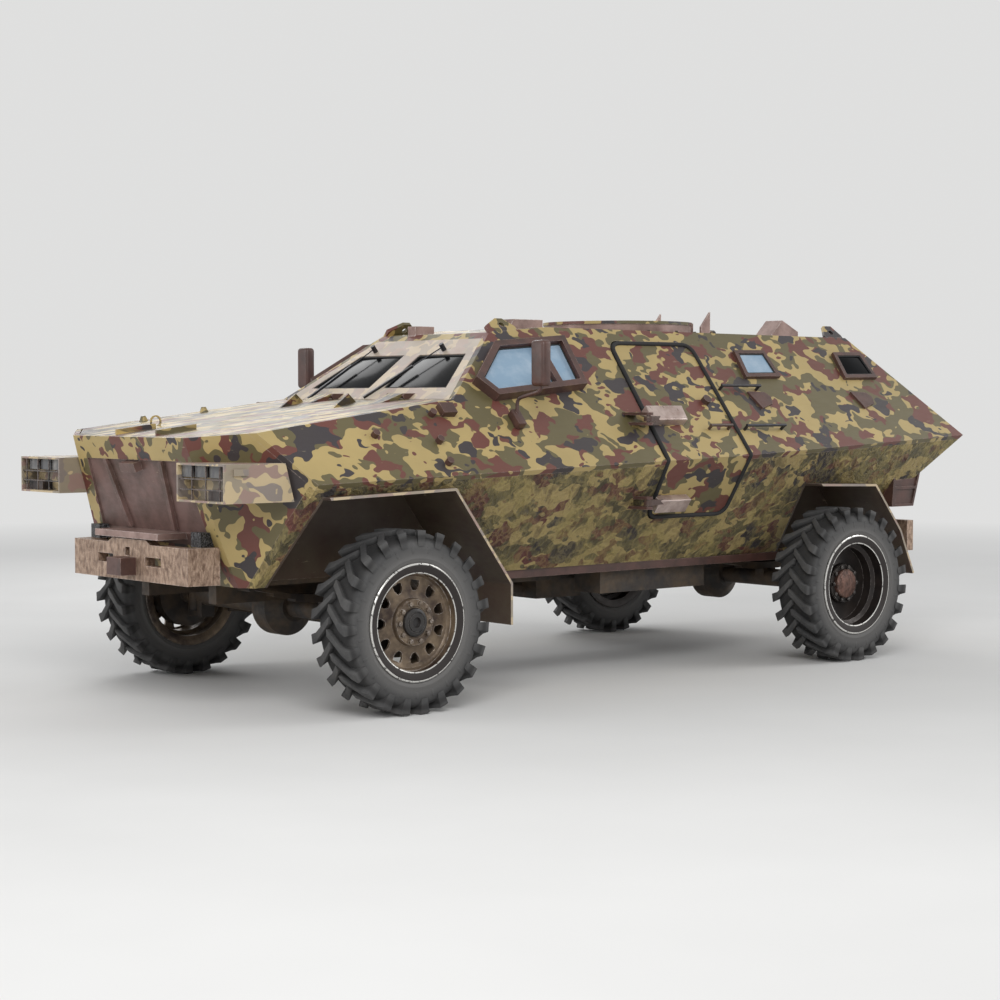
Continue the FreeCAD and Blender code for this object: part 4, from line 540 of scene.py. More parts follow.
@dataclass(frozen=True)
class Steel:
    """Painted or bare metal with worn edges and soil."""

    name: str
    base: Shade
    soil: Shade
    wear: Shade
    rough: float = 0.5
    metal: float = 0.0
    edge: float = 0.004
    pits: float = 0.0006
    pit_scale: float = 160

    def make(self) -> bpy.types.Material:
        """Build the material.

        Returns:
            The finished material.
        """
        mix = Recipe(self.name)
        cloud = mix.noise(7, 6, 0.62)
        colour = mix.mix(mix.band(cloud, 0.38, 0.68), paint(*self.base), paint(*self.soil))
        worn = mix.edges(self.edge)
        colour = mix.mix(worn, colour, paint(*self.wear))
        rough = mix.band(mix.noise(24, 5, 0.6), 0.3, 0.7, self.rough - 0.1, self.rough + 0.14)
        pits = mix.noise(self.pit_scale, 4, 0.6)
        return mix.settle(Base_Color=colour, Roughness=rough, Metallic=self.metal,
                          Normal=mix.bump(pits, self.pits, 0.8))


@dataclass(frozen=True)
class CastPlate:
    """Rough cast metal with a hammered skin, darker in its hollows as painted shade, and dark wire mesh in
    its zones.
    """

    name: str
    base: Shade
    # Colour of the skin's hollows, which is painted shade, and of broad darker clouds
    deep: Shade
    zones: tuple[Zone, ...] = ()

    def make(self) -> bpy.types.Material:
        """Build the material.

        Returns:
            The finished material.
        """
        mix = Recipe(self.name)
        lumps = mix.noise(46, 4, 0.55, mix.mapped((1, 1, 0.55)))
        fine = mix.noise(200, 3, 0.6)
        height = mix.sum("ADD", lumps, mix.sum("MULTIPLY", fine, 0.2))
        # Deep colour in the hollows of the hammered skin: painted shade
        colour = mix.mix(mix.band(lumps, 0.3, 0.6), paint(*self.deep), paint(*self.base))
        colour = mix.mix(mix.band(mix.noise(5, 4, 0.6), 0.45, 0.75, 0.0, 0.5), colour, paint(*self.deep))
        colour = mix.mix(mix.edges(0.006), colour, paint(220, 204, 194))
        if self.zones:
            mesh = mix.band(mix.noise(150, 2, 0.5), 0.45, 0.6)
            dark = mix.mix(mesh, paint(24, 24, 26), paint(96, 96, 98))
            colour = mix.mix(mix.inside(self.zones), colour, dark)
        return mix.settle(Base_Color=colour, Roughness=0.42, Metallic=0.35,
                          Normal=mix.bump(height, 0.012, 1.0))


@dataclass(frozen=True)
class FlakedSteel:
    """Bright worn steel with dark paint left in flakes, bare only on rings about a hub."""

    name: str
    dark: Shade
    bare: float = 0.5
    hub: Place2 | None = None
    rings: tuple[Place2, ...] = ()

    def make(self) -> bpy.types.Material:
        """Build the material.

        Returns:
            The finished material.
        """
        mix = Recipe(self.name)
        flakes = mix.band(mix.noise(58, 5, 0.66), self.bare - 0.05, self.bare + 0.03)
        if self.hub:
            radius = mix.reach(self.hub)
            worn: object = 0.0
            for middle, half in self.rings:
                worn = mix.sum("MAXIMUM", worn, mix.sum("COMPARE", radius, middle, half))
            flakes = mix.sum("MAXIMUM", flakes, mix.sum("SUBTRACT", 1.0, worn))
        colour = mix.mix(flakes, paint(222, 220, 216), paint(*self.dark))
        return mix.settle(Base_Color=colour, Roughness=mix.band(flakes, 0, 1, 0.26, 0.6),
                          Metallic=mix.band(flakes, 0, 1, 0.9, 0.1),
                          Normal=mix.bump(flakes, 0.0006, 0.7))


@dataclass(frozen=True)
class Rubber:
    """Tyre or seal rubber, dusty where the wheel's wall is, and on tyres with painted shade in a ring at the
    tread's shoulder.
    """

    name: str
    base: Shade
    dust: Shade
    dusty: float = 0.6
    grain: float = 0.0012
    hub: Place2 | None = None

    def make(self) -> bpy.types.Material:
        """Build the material.

        Returns:
            The finished material.
        """
        mix = Recipe(self.name)
        cloud = mix.noise(5, 7, 0.66)
        speckle = mix.noise(150, 3, 0.7)
        dust = mix.sum("MULTIPLY", mix.band(cloud, 0.32, 0.7), self.dusty)
        if self.hub:
            radius = mix.reach(self.hub)
            dust = mix.sum("MAXIMUM", dust, mix.band(radius, 0.31, 0.41, 0.9, 0.0))
        colour = mix.mix(dust, paint(*self.base), paint(*self.dust))
        colour = mix.mix(mix.band(speckle, 0.6, 0.72, 0.0, 0.35 * self.dusty), colour, paint(*self.dust))
        if self.hub:
            # Dark ring at the tread's shoulder, between the bars' feet: painted shade
            groove_shade = mix.sum("MULTIPLY", mix.band(radius, 0.405, 0.425),
                             mix.band(radius, 0.438, 0.452, 1.0, 0.0))
            colour = mix.mix(mix.sum("MULTIPLY", groove_shade, 0.7), colour, paint(26, 25, 25))
        colour = mix.mix(mix.sum("MULTIPLY", mix.edges(0.005), 0.45 * self.dusty), colour, paint(*self.dust))
        return mix.settle(Base_Color=colour, Roughness=0.78, Normal=mix.bump(speckle, self.grain, 0.6))


@dataclass(frozen=True)
class Glazing:
    """Thick armoured glass or mirror silver, with a smeared haze."""

    name: str
    tint: Shade
    rough: float
    haze: Shade
    haze_share: float
    gloss: float = 1.4

    def make(self) -> bpy.types.Material:
        """Build the material.

        Returns:
            The finished material.
        """
        mix = Recipe(self.name)
        smear = mix.noise(6, 5, 0.6, mix.mapped((1, 1.6, 0.7), (30, 20, 0)))
        share = mix.band(smear, 0.45, 0.75, 0.0, self.haze_share)
        colour = mix.mix(share, paint(*self.tint), paint(*self.haze))
        return mix.settle(Base_Color=colour, Roughness=self.rough, IOR=self.gloss,
                          Normal=mix.bump(smear, 0.001, 0.1))


@dataclass(frozen=True)
class Fabric:
    """Woven cover of the crew's cushions."""

    name: str
    base: Shade
    thread: Shade
    threads: float = 120.0
    wander: float = 1.5

    def make(self) -> bpy.types.Material:
        """Build the material.

        Returns:
            The finished material.
        """
        mix = Recipe(self.name)
        waves = []
        for direction in ("X", "Y"):
            wave = mix.add("TexWave", Vector=mix.place, Scale=self.threads, Distortion=self.wander)
            wave.bands_direction = direction
            waves.append(wave.outputs["Fac"])
        weave = mix.sum("MULTIPLY", *waves)
        colour = mix.mix(weave, paint(*self.base), paint(*self.thread))
        return mix.settle(Base_Color=colour, Roughness=0.9, Sheen_Weight=0.3,
                          Normal=mix.bump(weave, 0.0008, 0.6))


# Modelling


def round_path(points: Sequence[Vector], radii: Sequence[float], closed: bool,
               steps: int = 6) -> list[Vector]:
    """Path whose corners are rounded by short curves.

    Args:
        points: Corners of the path.
        radii: How far from each corner its curve starts.
        closed: Whether the last corner runs on to the first.
        steps: Runs in each curve.

    Returns:
        The points of the rounded path.
    """
    rounded: list[Vector] = []
    for i, corner in enumerate(points):
        if not closed and i in (0, len(points) - 1):
            rounded.append(corner.copy())
            continue
        before = points[i - 1] - corner
        after = points[(i + 1) % len(points)] - corner
        start = corner + before.normalized() * min(radii[i], before.length * 0.45)
        end = corner + after.normalized() * min(radii[i], after.length * 0.45)
        for k in range(steps + 1):
            share = k / steps
            rounded.append(start.lerp(corner, share).lerp(corner.lerp(end, share), share))
    return rounded


class Form:
    """One mesh piece that starts as a primitive and is shaped in edit mode."""

    def __init__(self, name: str) -> None:
        """Take the newest primitive under a name.

        Args:
            name: Name of the piece.
        """
        self.item = bpy.context.object
        self.item.name = name
        self.item.data.name = name
        bpy.ops.object.transform_apply(location=True, rotation=True, scale=True)

    @classmethod
    def block(cls, name: str, low: Vector, high: Vector) -> "Form":
        """Block between two corners.

        Args:
            name: Name of the piece.
            low: Its lowest corner.
            high: Its highest corner.

        Returns:
            The new form.
        """
        bpy.ops.object.select_all(action="DESELECT")
        bpy.ops.mesh.primitive_cube_add(size=1, location=(low + high) / 2, scale=high - low)
        return cls(name)

    @classmethod
    def bar(cls, name: str, start: Vector, end: Vector, radius: float, sides: int) -> "Form":
        """Round or many-sided bar between two points.

        Args:
            name: Name of the piece.
            start: Middle of the first end.
            end: Middle of the other end.
            radius: Its radius.
            sides: Number of sides.

        Returns:
            The new form.
        """
        line = end - start
        bpy.ops.object.select_all(action="DESELECT")
        turn = line.to_track_quat("Z", "Y").to_euler()
        bpy.ops.mesh.primitive_cone_add(vertices=sides, radius1=radius, radius2=radius, depth=line.length,
                                        location=(start + end) / 2, rotation=turn)
        return cls(name)

    @classmethod
    def loft(cls, name: str, *rings: Sequence[Vector]) -> "Form":
        """Closed solid drawn from a ring of points through further rings.

        Args:
            name: Name of the piece.
            *rings: Rings with the same number of points.

        Returns:
            The new form.
        """
        bpy.ops.object.select_all(action="DESELECT")
        bpy.ops.mesh.primitive_circle_add(vertices=len(rings[0]), radius=1, fill_type="NGON")
        form = cls(name)
        last = [point.co.copy() for point in form.item.data.vertices]
        form.edit()
        for i, ring in enumerate(rings):
            if i:
                bpy.ops.mesh.extrude_region_move()
            form.lay(last, ring)
            last = [point.copy() for point in ring]
        return form.mend()

    @classmethod
    def thread(cls, name: str, points: Sequence[Vector], closed: bool = False) -> "Form":
        """Line of edges through points, from one vertex drawn out step by step.

        Args:
            name: Name of the piece.
            points: The line's points.
            closed: Whether the last point joins the first.

        Returns:
            The new form.
        """
        bpy.ops.object.select_all(action="DESELECT")
        bpy.ops.mesh.primitive_plane_add(size=0.01, location=points[0])
        form = cls(name)
        form.edit()
        bpy.ops.mesh.merge(type="CENTER")
        for near, other in zip(points, points[1:]):
            bpy.ops.mesh.extrude_vertices_move(TRANSFORM_OT_translate={"value": other - near})
        bpy.ops.object.mode_set(mode="OBJECT")
        if closed:
            count = len(form.item.data.vertices)
            for vertex in form.item.data.vertices:
                vertex.select = vertex.index in (0, count - 1)
            bpy.ops.object.mode_set(mode="EDIT")
            bpy.ops.mesh.edge_face_add()
            bpy.ops.object.mode_set(mode="OBJECT")
        return form

    @classmethod
    def tube(cls, name: str, points: Sequence[Vector], radius: float, closed: bool = False,
             round_steps: int = 3) -> "Form":
        """Round tube along a line of points.

        Args:
            name: Name of the piece.
            points: The line's points.
            radius: Radius of the tube.
            closed: Whether the line is a ring.
            round_steps: Fineness of the round section.

        Returns:
            The new form.
        """
        form = cls.thread(name, points, closed)
        bpy.ops.object.convert(target="CURVE")
        curve = form.item.data
        curve.bevel_depth = radius
        curve.bevel_resolution = round_steps
        curve.use_fill_caps = True
        bpy.ops.object.convert(target="MESH")
        form.item = bpy.context.object
        form.item.data.name = name
        return form.mend().smooth(50)

    @classmethod
    def turned(cls, name: str, profile: Sequence[tuple[float, float]], steps: int = 96,
               closed: bool = True) -> "Form":
        """Profile of (radius, y) points in millimetres, spun about the Y axis.

        Args:
            name: Name of the piece.
            profile: The section's points.
            steps: Steps of the spin.
            closed: Whether the section is a closed ring.

        Returns:
            The new form.
        """
        form = cls.thread(name, [Vector((r / 1000, y / 1000, 0)) for r, y in profile], closed)
        form.edit()
        bpy.ops.mesh.spin(steps=steps, angle=2 * math.pi, center=(0, 0, 0), axis=(0, 1, 0))
        return form.mend()

    def edit(self) -> "Form":
        """Select the whole piece in edit mode.

        Returns:
            This form.
        """
        self.rest()
        bpy.ops.object.mode_set(mode="EDIT")
        bpy.ops.mesh.select_all(action="SELECT")
        return self

    def rest(self) -> "Form":
        """Back to object mode, with only this piece selected.

        Returns:
            This form.
        """
        if bpy.context.object and bpy.context.object.mode != "OBJECT":
            bpy.ops.object.mode_set(mode="OBJECT")
        bpy.ops.object.select_all(action="DESELECT")
        self.item.select_set(True)
        bpy.context.view_layer.objects.active = self.item
        return self

    def discard(self) -> None:
        """Delete the piece."""
        self.rest()
        bpy.ops.object.delete()

    def pick(self, chosen: Container[int]) -> None:
        """Select vertices by their numbers, and the faces between them, in edit mode.

        Args:
            chosen: Numbers of the vertices.
        """
        mesh = self.item.data
        for vertex in mesh.vertices:
            vertex.select = vertex.index in chosen
        for edge in mesh.edges:
            edge.select = False
        for face in mesh.polygons:
            face.select = all(index in chosen for index in face.vertices)
        bpy.ops.object.mode_set(mode="EDIT")
        bpy.ops.mesh.select_mode(type="VERT")

    def lay(self, before: Sequence[Vector], after: Sequence[Vector]) -> None:
        """Move the newest ring of vertices to its places, one by one.

        Args:
            before: Places of the ring's vertices now.
            after: Where they go.
        """
        bpy.ops.object.mode_set(mode="OBJECT")
        ways: dict[int, Vector] = {}
        for vertex in self.item.data.vertices:
            if vertex.select:
                nearest = min(range(len(before)), key=lambda k, here=vertex.co: (before[k] - here).length)
                ways[vertex.index] = after[nearest] - before[nearest]
        for index, way in ways.items():
            self.pick((index,))
            bpy.ops.transform.translate(value=way)
            bpy.ops.object.mode_set(mode="OBJECT")
        self.pick(ways)

    def faces(self, test: Callable[[Vector, Vector], bool]) -> "Form":
        """Select the faces whose middle and normal pass a test, in edit mode.

        Args:
            test: What a face has to pass.

        Returns:
            This form.
        """
        self.rest()
        mesh = self.item.data
        for group in (mesh.vertices, mesh.edges):
            for member in group:
                member.select = False
        for face in mesh.polygons:
            face.select = test(face.center, face.normal)
        bpy.ops.object.mode_set(mode="EDIT")
        bpy.ops.mesh.select_mode(type="FACE")
        return self

    def mend(self) -> "Form":
        """Merge doubles and turn all faces outwards.

        Returns:
            This form.
        """
        self.edit()
        bpy.ops.mesh.remove_doubles(threshold=0.00002)
        bpy.ops.mesh.normals_make_consistent(inside=False)
        return self.rest()

    def smooth(self, degrees: float = 35.0) -> "Form":
        """Shade smooth below an angle.

        Args:
            degrees: The angle.

        Returns:
            This form.
        """
        self.rest()
        bpy.ops.object.shade_smooth_by_angle(angle=math.radians(degrees))
        return self

    def modify(self, kind: str, **settings: object) -> None:
        """Add a modifier and apply it.

        Args:
            kind: Type of the modifier.
            **settings: Its settings.
        """
        self.rest()
        modifier = self.item.modifiers.new("step", kind)
        for name, value in settings.items():
            setattr(modifier, name, value)
        bpy.ops.object.modifier_apply(modifier=modifier.name)

    def bevel(self, width: float, segments: int = 2, degrees: float = 30.0) -> "Form":
        """Round the edges sharper than an angle.

        Args:
            width: Width of the bevel in metres.
            segments: Steps across it.
            degrees: Least angle of an edge that is rounded.

        Returns:
            This form.
        """
        self.modify("BEVEL", width=width, segments=segments, limit_method="ANGLE",
                    angle_limit=math.radians(degrees))
        return self.smooth()

    def soften(self, levels: int) -> "Form":
        """Round the whole piece by a subdivision surface.

        Args:
            levels: Levels of the subdivision.

        Returns:
            This form.
        """
        self.modify("SUBSURF", levels=levels, render_levels=levels)
        bpy.ops.object.shade_smooth()
        return self

    def cut(self, tool: "Form") -> "Form":
        """Take another form away from this one.

        Args:
            tool: The form that is taken away, and deleted.

        Returns:
            This form.
        """
        self.modify("BOOLEAN", operation="DIFFERENCE", solver="EXACT", object=tool.item)
        tool.discard()
        return self.rest()

    def repeat(self, count: int) -> "Form":
        """Copy the shape evenly round the Y axis through the origin.

        Args:
            count: Number of shapes in the end.

        Returns:
            This form.
        """
        self.edit()
        angle = 2 * math.pi * (count - 1) / count
        bpy.ops.mesh.spin(steps=count - 1, dupli=True, angle=angle, center=(0, 0, 0), axis=(0, 1, 0))
        return self.rest()

    def move(self, way: Vector) -> "Form":
        """Move the shape in its mesh.

        Args:
            way: How far, in metres.

        Returns:
            This form.
        """
        self.rest()
        self.item.location = way
        bpy.ops.object.transform_apply(location=True, rotation=True, scale=True)
        return self

    def copy(self, name: str) -> "Form":
        """Second shape with its own mesh.

        Args:
            name: Name of the copy.

        Returns:
            The copy.
        """
        self.rest()
        bpy.ops.object.duplicate()
        return Form(name)

    def twin(self, name: str) -> "Form":
        """Mirror image on the other side of the vehicle.

        Args:
            name: Name of the mirror image.

        Returns:
            The mirror image.
        """
        other = self.copy(name)
        other.item.scale = (1, -1, 1)
        bpy.ops.object.transform_apply(location=True, rotation=True, scale=True)
        other.edit()
        bpy.ops.mesh.normals_make_consistent(inside=False)
        return other.rest()

    def join(self, *others: "Form") -> "Form":
        """Take other forms into this one.

        Args:
            *others: The forms that are taken in.

        Returns:
            This form.
        """
        self.rest()
        for other in others:
            other.item.select_set(True)
        bpy.ops.object.join()
        return self

    def paint(self, *finishes: bpy.types.Material) -> "Form":
        """Give the piece its materials, the first one all over.

        Args:
            *finishes: The materials.

        Returns:
            This form.
        """
        self.item.data.materials.clear()
        for finish in finishes:
            self.item.data.materials.append(finish)
        return self

    def second(self, test: Callable[[Vector], bool]) -> "Form":
        """Give the second material to the faces whose middle passes a test.

        Args:
            test: What a face has to pass.

        Returns:
            This form.
        """
        for face in self.item.data.polygons:
            if test(face.center):
                face.material_index = 1
        return self

    def both(self, body: str, slot: str, *replaced: str) -> tuple["Form", "Form"]:
        """Mirror a left piece, and tie the right one and this one to their bodies.

        Args:
            body: CAD body that carries them, with {} for the side.
            slot: Material slot of the record.
            *replaced: CAD nodes that they stand for.

        Returns:
            This form and its mirror image.
        """
        other = self.twin(self.item.name.replace("left", "right"))
        other.done(body.format("right"), slot, *replaced)
        return self.done(body.format("left"), slot, *replaced), other

    def done(self, body: str, slot: str, *replaced: str) -> "Form":
        """Tie the piece to its body, hide the CAD nodes that it stands for, and report it.

        Args:
            body: CAD body that carries it.
            slot: Material slot of the record; not used.
            *replaced: CAD nodes that it stands for.

        Returns:
            This form.
        """
        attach(self.item, body)
        if replaced:
            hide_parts(*replaced)
        LOG.info("%s rides on %s, %d faces", self.item.name, body, len(self.item.data.polygons))
        return self


# Places on the hull, in millimetres

SIDE_SLOPE = math.tan(math.radians(41))
LOWER_SLOPE = math.tan(math.radians(36.2))
SIDE_TAPER = 0.0397
PILLAR_FOOT = (2837, 792, 1595)
SCREEN_RUN, SCREEN_RISE = 339, 250
BELT_REACH, BELT_TOP = 898, 1270
BELT_FALL_FRONT, BELT_FALL_REAR = 97 / 3054, 96 / 1998
ROOF_REACH, ROOF_TOP, ROOF_LENGTH, ROOF_FALL = 1900, 2006, 2498, 16
UPPER_NORMAL = Vector((SIDE_TAPER, 1.0, SIDE_SLOPE)).normalized()
LOWER_NORMAL = Vector((0.0, 1.0, -LOWER_SLOPE)).normalized()
SCREEN_NORMAL = Vector((SCREEN_RISE, 0.0, SCREEN_RUN)).normalized()


def upper_y(x: float, z: float) -> float:
    """Half width of the upper side plate."""
    reach, half_width, height = PILLAR_FOOT
    return half_width - SIDE_TAPER * (x - reach) - SIDE_SLOPE * (z - height)


def belt_z(x: float) -> float:
    """Height of the belt line, where the side bends."""
    return BELT_TOP - (x - BELT_REACH) * (BELT_FALL_FRONT if x > BELT_REACH else BELT_FALL_REAR)


def roof_z(x: float) -> float:
    """Height of the roof."""
    return ROOF_TOP - (ROOF_REACH - x) * ROOF_FALL / ROOF_LENGTH


def flank(x: float, z: float, proud: float = 0.0) -> Vector:
    """Point on the left side of the hull, in metres.

    Args:
        x: Forward distance from the rear axle in millimetres.
        z: Height above the road in millimetres.
        proud: Distance out from the plate in millimetres.

    Returns:
        The point in the frame.
    """
    belt = belt_z(x)
    if z >= belt:
        return spot(x, upper_y(x, z), z) + UPPER_NORMAL * (proud / 1000)
    half_width = upper_y(x, belt) - (belt - z) * LOWER_SLOPE
    return spot(x, half_width, z) + LOWER_NORMAL * (proud / 1000)


def screen(y: float, z: float, proud: float = 0.0) -> Vector:
    """Point on the windscreen plate, in metres."""
    x = PILLAR_FOOT[0] - (z - PILLAR_FOOT[2]) * SCREEN_RUN / SCREEN_RISE
    return spot(x, y, z) + SCREEN_NORMAL * (proud / 1000)


def shrunk(outline: Sequence[Place2], amount: float, stretch: float = 1.0) -> list[Place2]:
    """Outline moved in by an amount on every side.

    Args:
        outline: Corners, in order.
        amount: Distance to move each side.
        stretch: Length on the plate for one of height.

    Returns:
        The corners of the smaller outline.
    """
    flat = [Vector((x, z * stretch)) for x, z in outline]
    area = sum(a.x * b.y - b.x * a.y for a, b in zip(flat, flat[1:] + flat[:1]))
    turn = 1 if area > 0 else -1
    inner: list[Place2] = []
    for i, corner in enumerate(flat):
        before = (corner - flat[i - 1]).normalized()
        after = (flat[(i + 1) % len(flat)] - corner).normalized()
        first = Vector((-before.y, before.x)) * turn
        second = Vector((-after.y, after.x)) * turn
        way = (first + second) / (1 + first.dot(second))
        moved = corner + way * amount
        inner.append((moved.x, moved.y / stretch))
    return inner


def kept(outline: Sequence[Place2], limit: float, above: bool) -> list[Place2]:
    """Part of an outline on one side of an upright line.

    Args:
        outline: Corners, in order.
        limit: Reach of the line.
        above: Whether the part ahead of the line is kept.

    Returns:
        The corners of that part.
    """
    result: list[Place2] = []
    for a, b in zip(outline, list(outline[1:]) + [outline[0]]):
        a_in, b_in = ((p[0] >= limit) == above for p in (a, b))
        if a_in:
            result.append(a)
        if a_in != b_in:
            share = (limit - a[0]) / (b[0] - a[0])
            result.append((limit, a[1] + share * (b[1] - a[1])))
    return result


# Wheels


def around(angle: float, y: float, radius: float) -> Vector:
    """Point about the Y axis, turned back from the top by radians, in metres.

    Args:
        angle: Turn from the top.
        y: Distance along the axis in millimetres.
        radius: Distance from the axis in millimetres.

    Returns:
        The point.
    """
    return Vector((-radius * math.sin(angle), y, radius * math.cos(angle))) / 1000


@dataclass
class Tyre:
    """Lug tyre with two staggered rows of slanted bars, in millimetres."""

    radius: float = AXLE_HEIGHT
    half_width: float = 142.5
    lugs: int = 23
    lug_width: float = 40.0
    sweep: float = 112.0
    lap: float = 10.0
    wall: tuple[Place2, ...] = ((263.5, 126.4), (303, 126.4), (308, 131), (314, 135), (320, 136), (323, 139),
                                (329, 139.4), (332, 137.4), (352, 141.5), (374, 141), (391, 138), (406, 132),
                                (420, 122), (429, 109), (433, 92), (435, 60))

    def bar(self, sign: int) -> Form:
        """One bar of the tread, from the shoulder over the middle.

        Args:
            sign: 1 for the outer row and -1 for the inner row.

        Returns:
            The bar, on top of the tyre.
        """
        # Each section of the bar: distance from the middle, sweep, foot, top, and flare to each side
        stations = ((self.half_width, 0.0, 384.0, self.radius - 4, 8.0),
                    (self.half_width - 9, 3.0, 404.0, self.radius, 8.0),
                    (98.0, 18.0, 424.0, self.radius, 4.0),
                    (-self.lap, self.sweep, 428.0, self.radius, 0.0))
        pitch = 2 * math.pi / self.lugs
        start = pitch / 2 if sign < 0 else 0.0
        rings = []
        for y, swept, low, high, flare in stations:
            first, last = 1.0 - flare, self.lug_width - 1 + flare
            ring = ((first + 2, low), (last - 2, low), (last, high), (first, high))
            rings.append([around(start + (swept + edge) / self.radius, sign * y, radius)
                          for edge, radius in ring])
        return Form.loft("tread_bar", *rings).bevel(0.004, 2, 25).repeat(self.lugs)

    def ridge(self) -> Form:
        """Small ribs on the wall between the bars' feet.

        Returns:
            All the ribs.
        """
        middle = 2 * math.pi / self.lugs * 0.62
        section = ((-9, 138.0), (9, 138.0), (7, 142.2), (-7, 142.2))
        rings = [[around(middle + across / radius, y, radius) for across, y in section]
                 for radius in (350.0, 386.0)]
        return Form.loft("wall_rib", *rings).bevel(0.0012, 1, 25).repeat(self.lugs)

    def build(self, name: str) -> Form:
        """The whole tyre about the Y axis through the origin.

        Args:
            name: Name of the piece.

        Returns:
            The tyre for the left side.
        """
        section = list(self.wall) + [(r, -y) for r, y in self.wall[::-1]]
        carcass = Form.turned(name, section, 138).smooth(50)
        return carcass.join(self.bar(1), self.bar(-1), self.ridge())


@dataclass
class Rim:
    """Steel wheel in millimetres, about the Y axis, with its disc set out or deep in."""

    disc: tuple[Place2, ...]
    cap: tuple[Place2, ...]
    holes: int = 0
    nuts: int = 10
    nut_circle: float = 99.0
    nut_y: float = 108.0
    barrel: tuple[Place2, ...] = (
        (249, 128), (262, 131), (282, 139), (297, 139), (301.5, 136), (301.5, 128.2), (266, 127.2),
        (261.6, 122), (261.6, 68), (236, 60), (236, -60), (261.6, -68), (261.6, -122), (266, -127.2),
        (301.5, -128.2), (301.5, -136), (297, -139), (282, -139), (249, -126), (246, -70), (224, -56),
        (224, 56), (246, 70))
    hole_circle: float = 187.0
    hole_half: float = 27.0
    hole_taper: float = 15.0

    def hole_cutter(self) -> Form:
        """Row of rounded six-cornered openings.

        Returns:
            Their solid, which is cut from the disc.
        """
        middle, half = self.hole_circle, self.hole_half
        narrow = half - self.hole_taper
        outline = ((middle - half, narrow), (middle, half), (middle + half, half), (middle + half, -half),
                   (middle, -half), (middle - half, -narrow))
        rings = [[Vector((r, y, across)) / 1000 for r, across in outline] for y in (40.0, 92.0)]
        return Form.loft("rim_hole", *rings).bevel(0.007, 3, 40).repeat(self.holes)

    def build(self, name: str) -> Form:
        """The whole rim for the left side.

        Args:
            name: Name of the piece.

        Returns:
            The rim with its disc, nuts and studs.
        """
        rim = Form.turned(name, self.barrel, 96).smooth(30)
        disc = Form.turned("disc", self.disc, 96)
        if self.holes:
            disc.cut(self.hole_cutter()).bevel(0.0025, 2, 45)
        disc.smooth(30)
        ends = [Vector((self.nut_circle, self.nut_y + rise, 0)) / 1000 for rise in (0, 15, 14, 20)]
        nut = Form.bar("nut", *ends[:2], 0.0135, 6).bevel(0.0018, 2, 40)
        stud = Form.bar("stud", *ends[2:], 0.0065, 12).bevel(0.0012, 1, 40)
        nut.join(stud).repeat(self.nuts)
        return rim.join(disc, nut)

    def build_cap(self, name: str) -> Form:
        """Cap over the middle of the hub."""
        return Form.turned(name, self.cap, 64, closed=False).smooth(32)


FRONT_RIM = Rim(
    disc=((48, 58), (228, 58), (247, 60), (250, 66), (250, 92), (243, 93), (240, 84), (232, 76), (214, 72),
          (160, 72), (134, 75), (124, 80), (121, 86), (121, 102), (117, 108), (84, 108), (78, 104),
          (48, 104)),
    cap=((0, 112), (24, 112), (25, 122), (28, 126), (46, 126), (48, 121), (52, 121), (54, 124), (60, 124),
         (70, 118), (74, 110), (74, 96), (0, 96)),
    holes=11)
REAR_RIM = Rim(
    disc=((48, -20), (226, -20), (226, -2), (200, -4), (130, -4), (123, 0), (121, 6), (121, 26), (116, 32),
          (92, 32), (88, 28), (48, 28)),
    cap=((0, 69), (30, 69), (52, 66), (66, 60), (82, 56), (87, 50), (87, 22), (0, 22)),
    nut_circle=104.0, nut_y=31.0)


@dataclass
class Wheels:
    """The four wheels."""

    half_track: float = 1064.0
    lip_radius: float = 0.2465
    lip_y: float = 0.12

    def build(self, finishes: "Finishes") -> None:
        """Model each wheel once and copy it to the other places.

        Args:
            finishes: The vehicle's materials.
        """
        tyre = Tyre().build("tyre_model")
        rims = {"front": FRONT_RIM.build("rim_model"), "rear": REAR_RIM.build("rim_model")}
        caps = {"front": FRONT_RIM.build_cap("cap_model"), "rear": REAR_RIM.build_cap("cap_model")}
        for end, x in (("front", WHEELBASE), ("rear", 0.0)):
            rows = (("tyre", "tread", tyre, (finishes.tyre[end],), "tyre_rubber", "tyre"),
                    ("rim", "disc", rims[end], (finishes.rim[end], finishes.lip[end]), "rim_paint", "rim"),
                    ("hub_cap", "", caps[end], (finishes.hub[end],), "rim_paint", "rim"))
            for side, sign in (("left", 1), ("right", -1)):
                way = spot(x, sign * self.half_track, AXLE_HEIGHT)
                for start, tail, source, coats, slot, node in rows:
                    name = "_".join(word for word in ("part", start, end, side, tail) if word)
                    piece = source.copy(name) if sign > 0 else source.twin(name)
                    piece.paint(*coats)
                    if len(coats) > 1:
                        piece.second(lambda p: math.hypot(p.x, p.z) > self.lip_radius
                                     and p.y * sign > self.lip_y)
                    piece.move(way).done(f"wheel_{end}_{side}", slot, f"{node}_{end}_{side}")
        for form in (tyre, *rims.values(), *caps.values()):
            form.discard()


# Body fittings


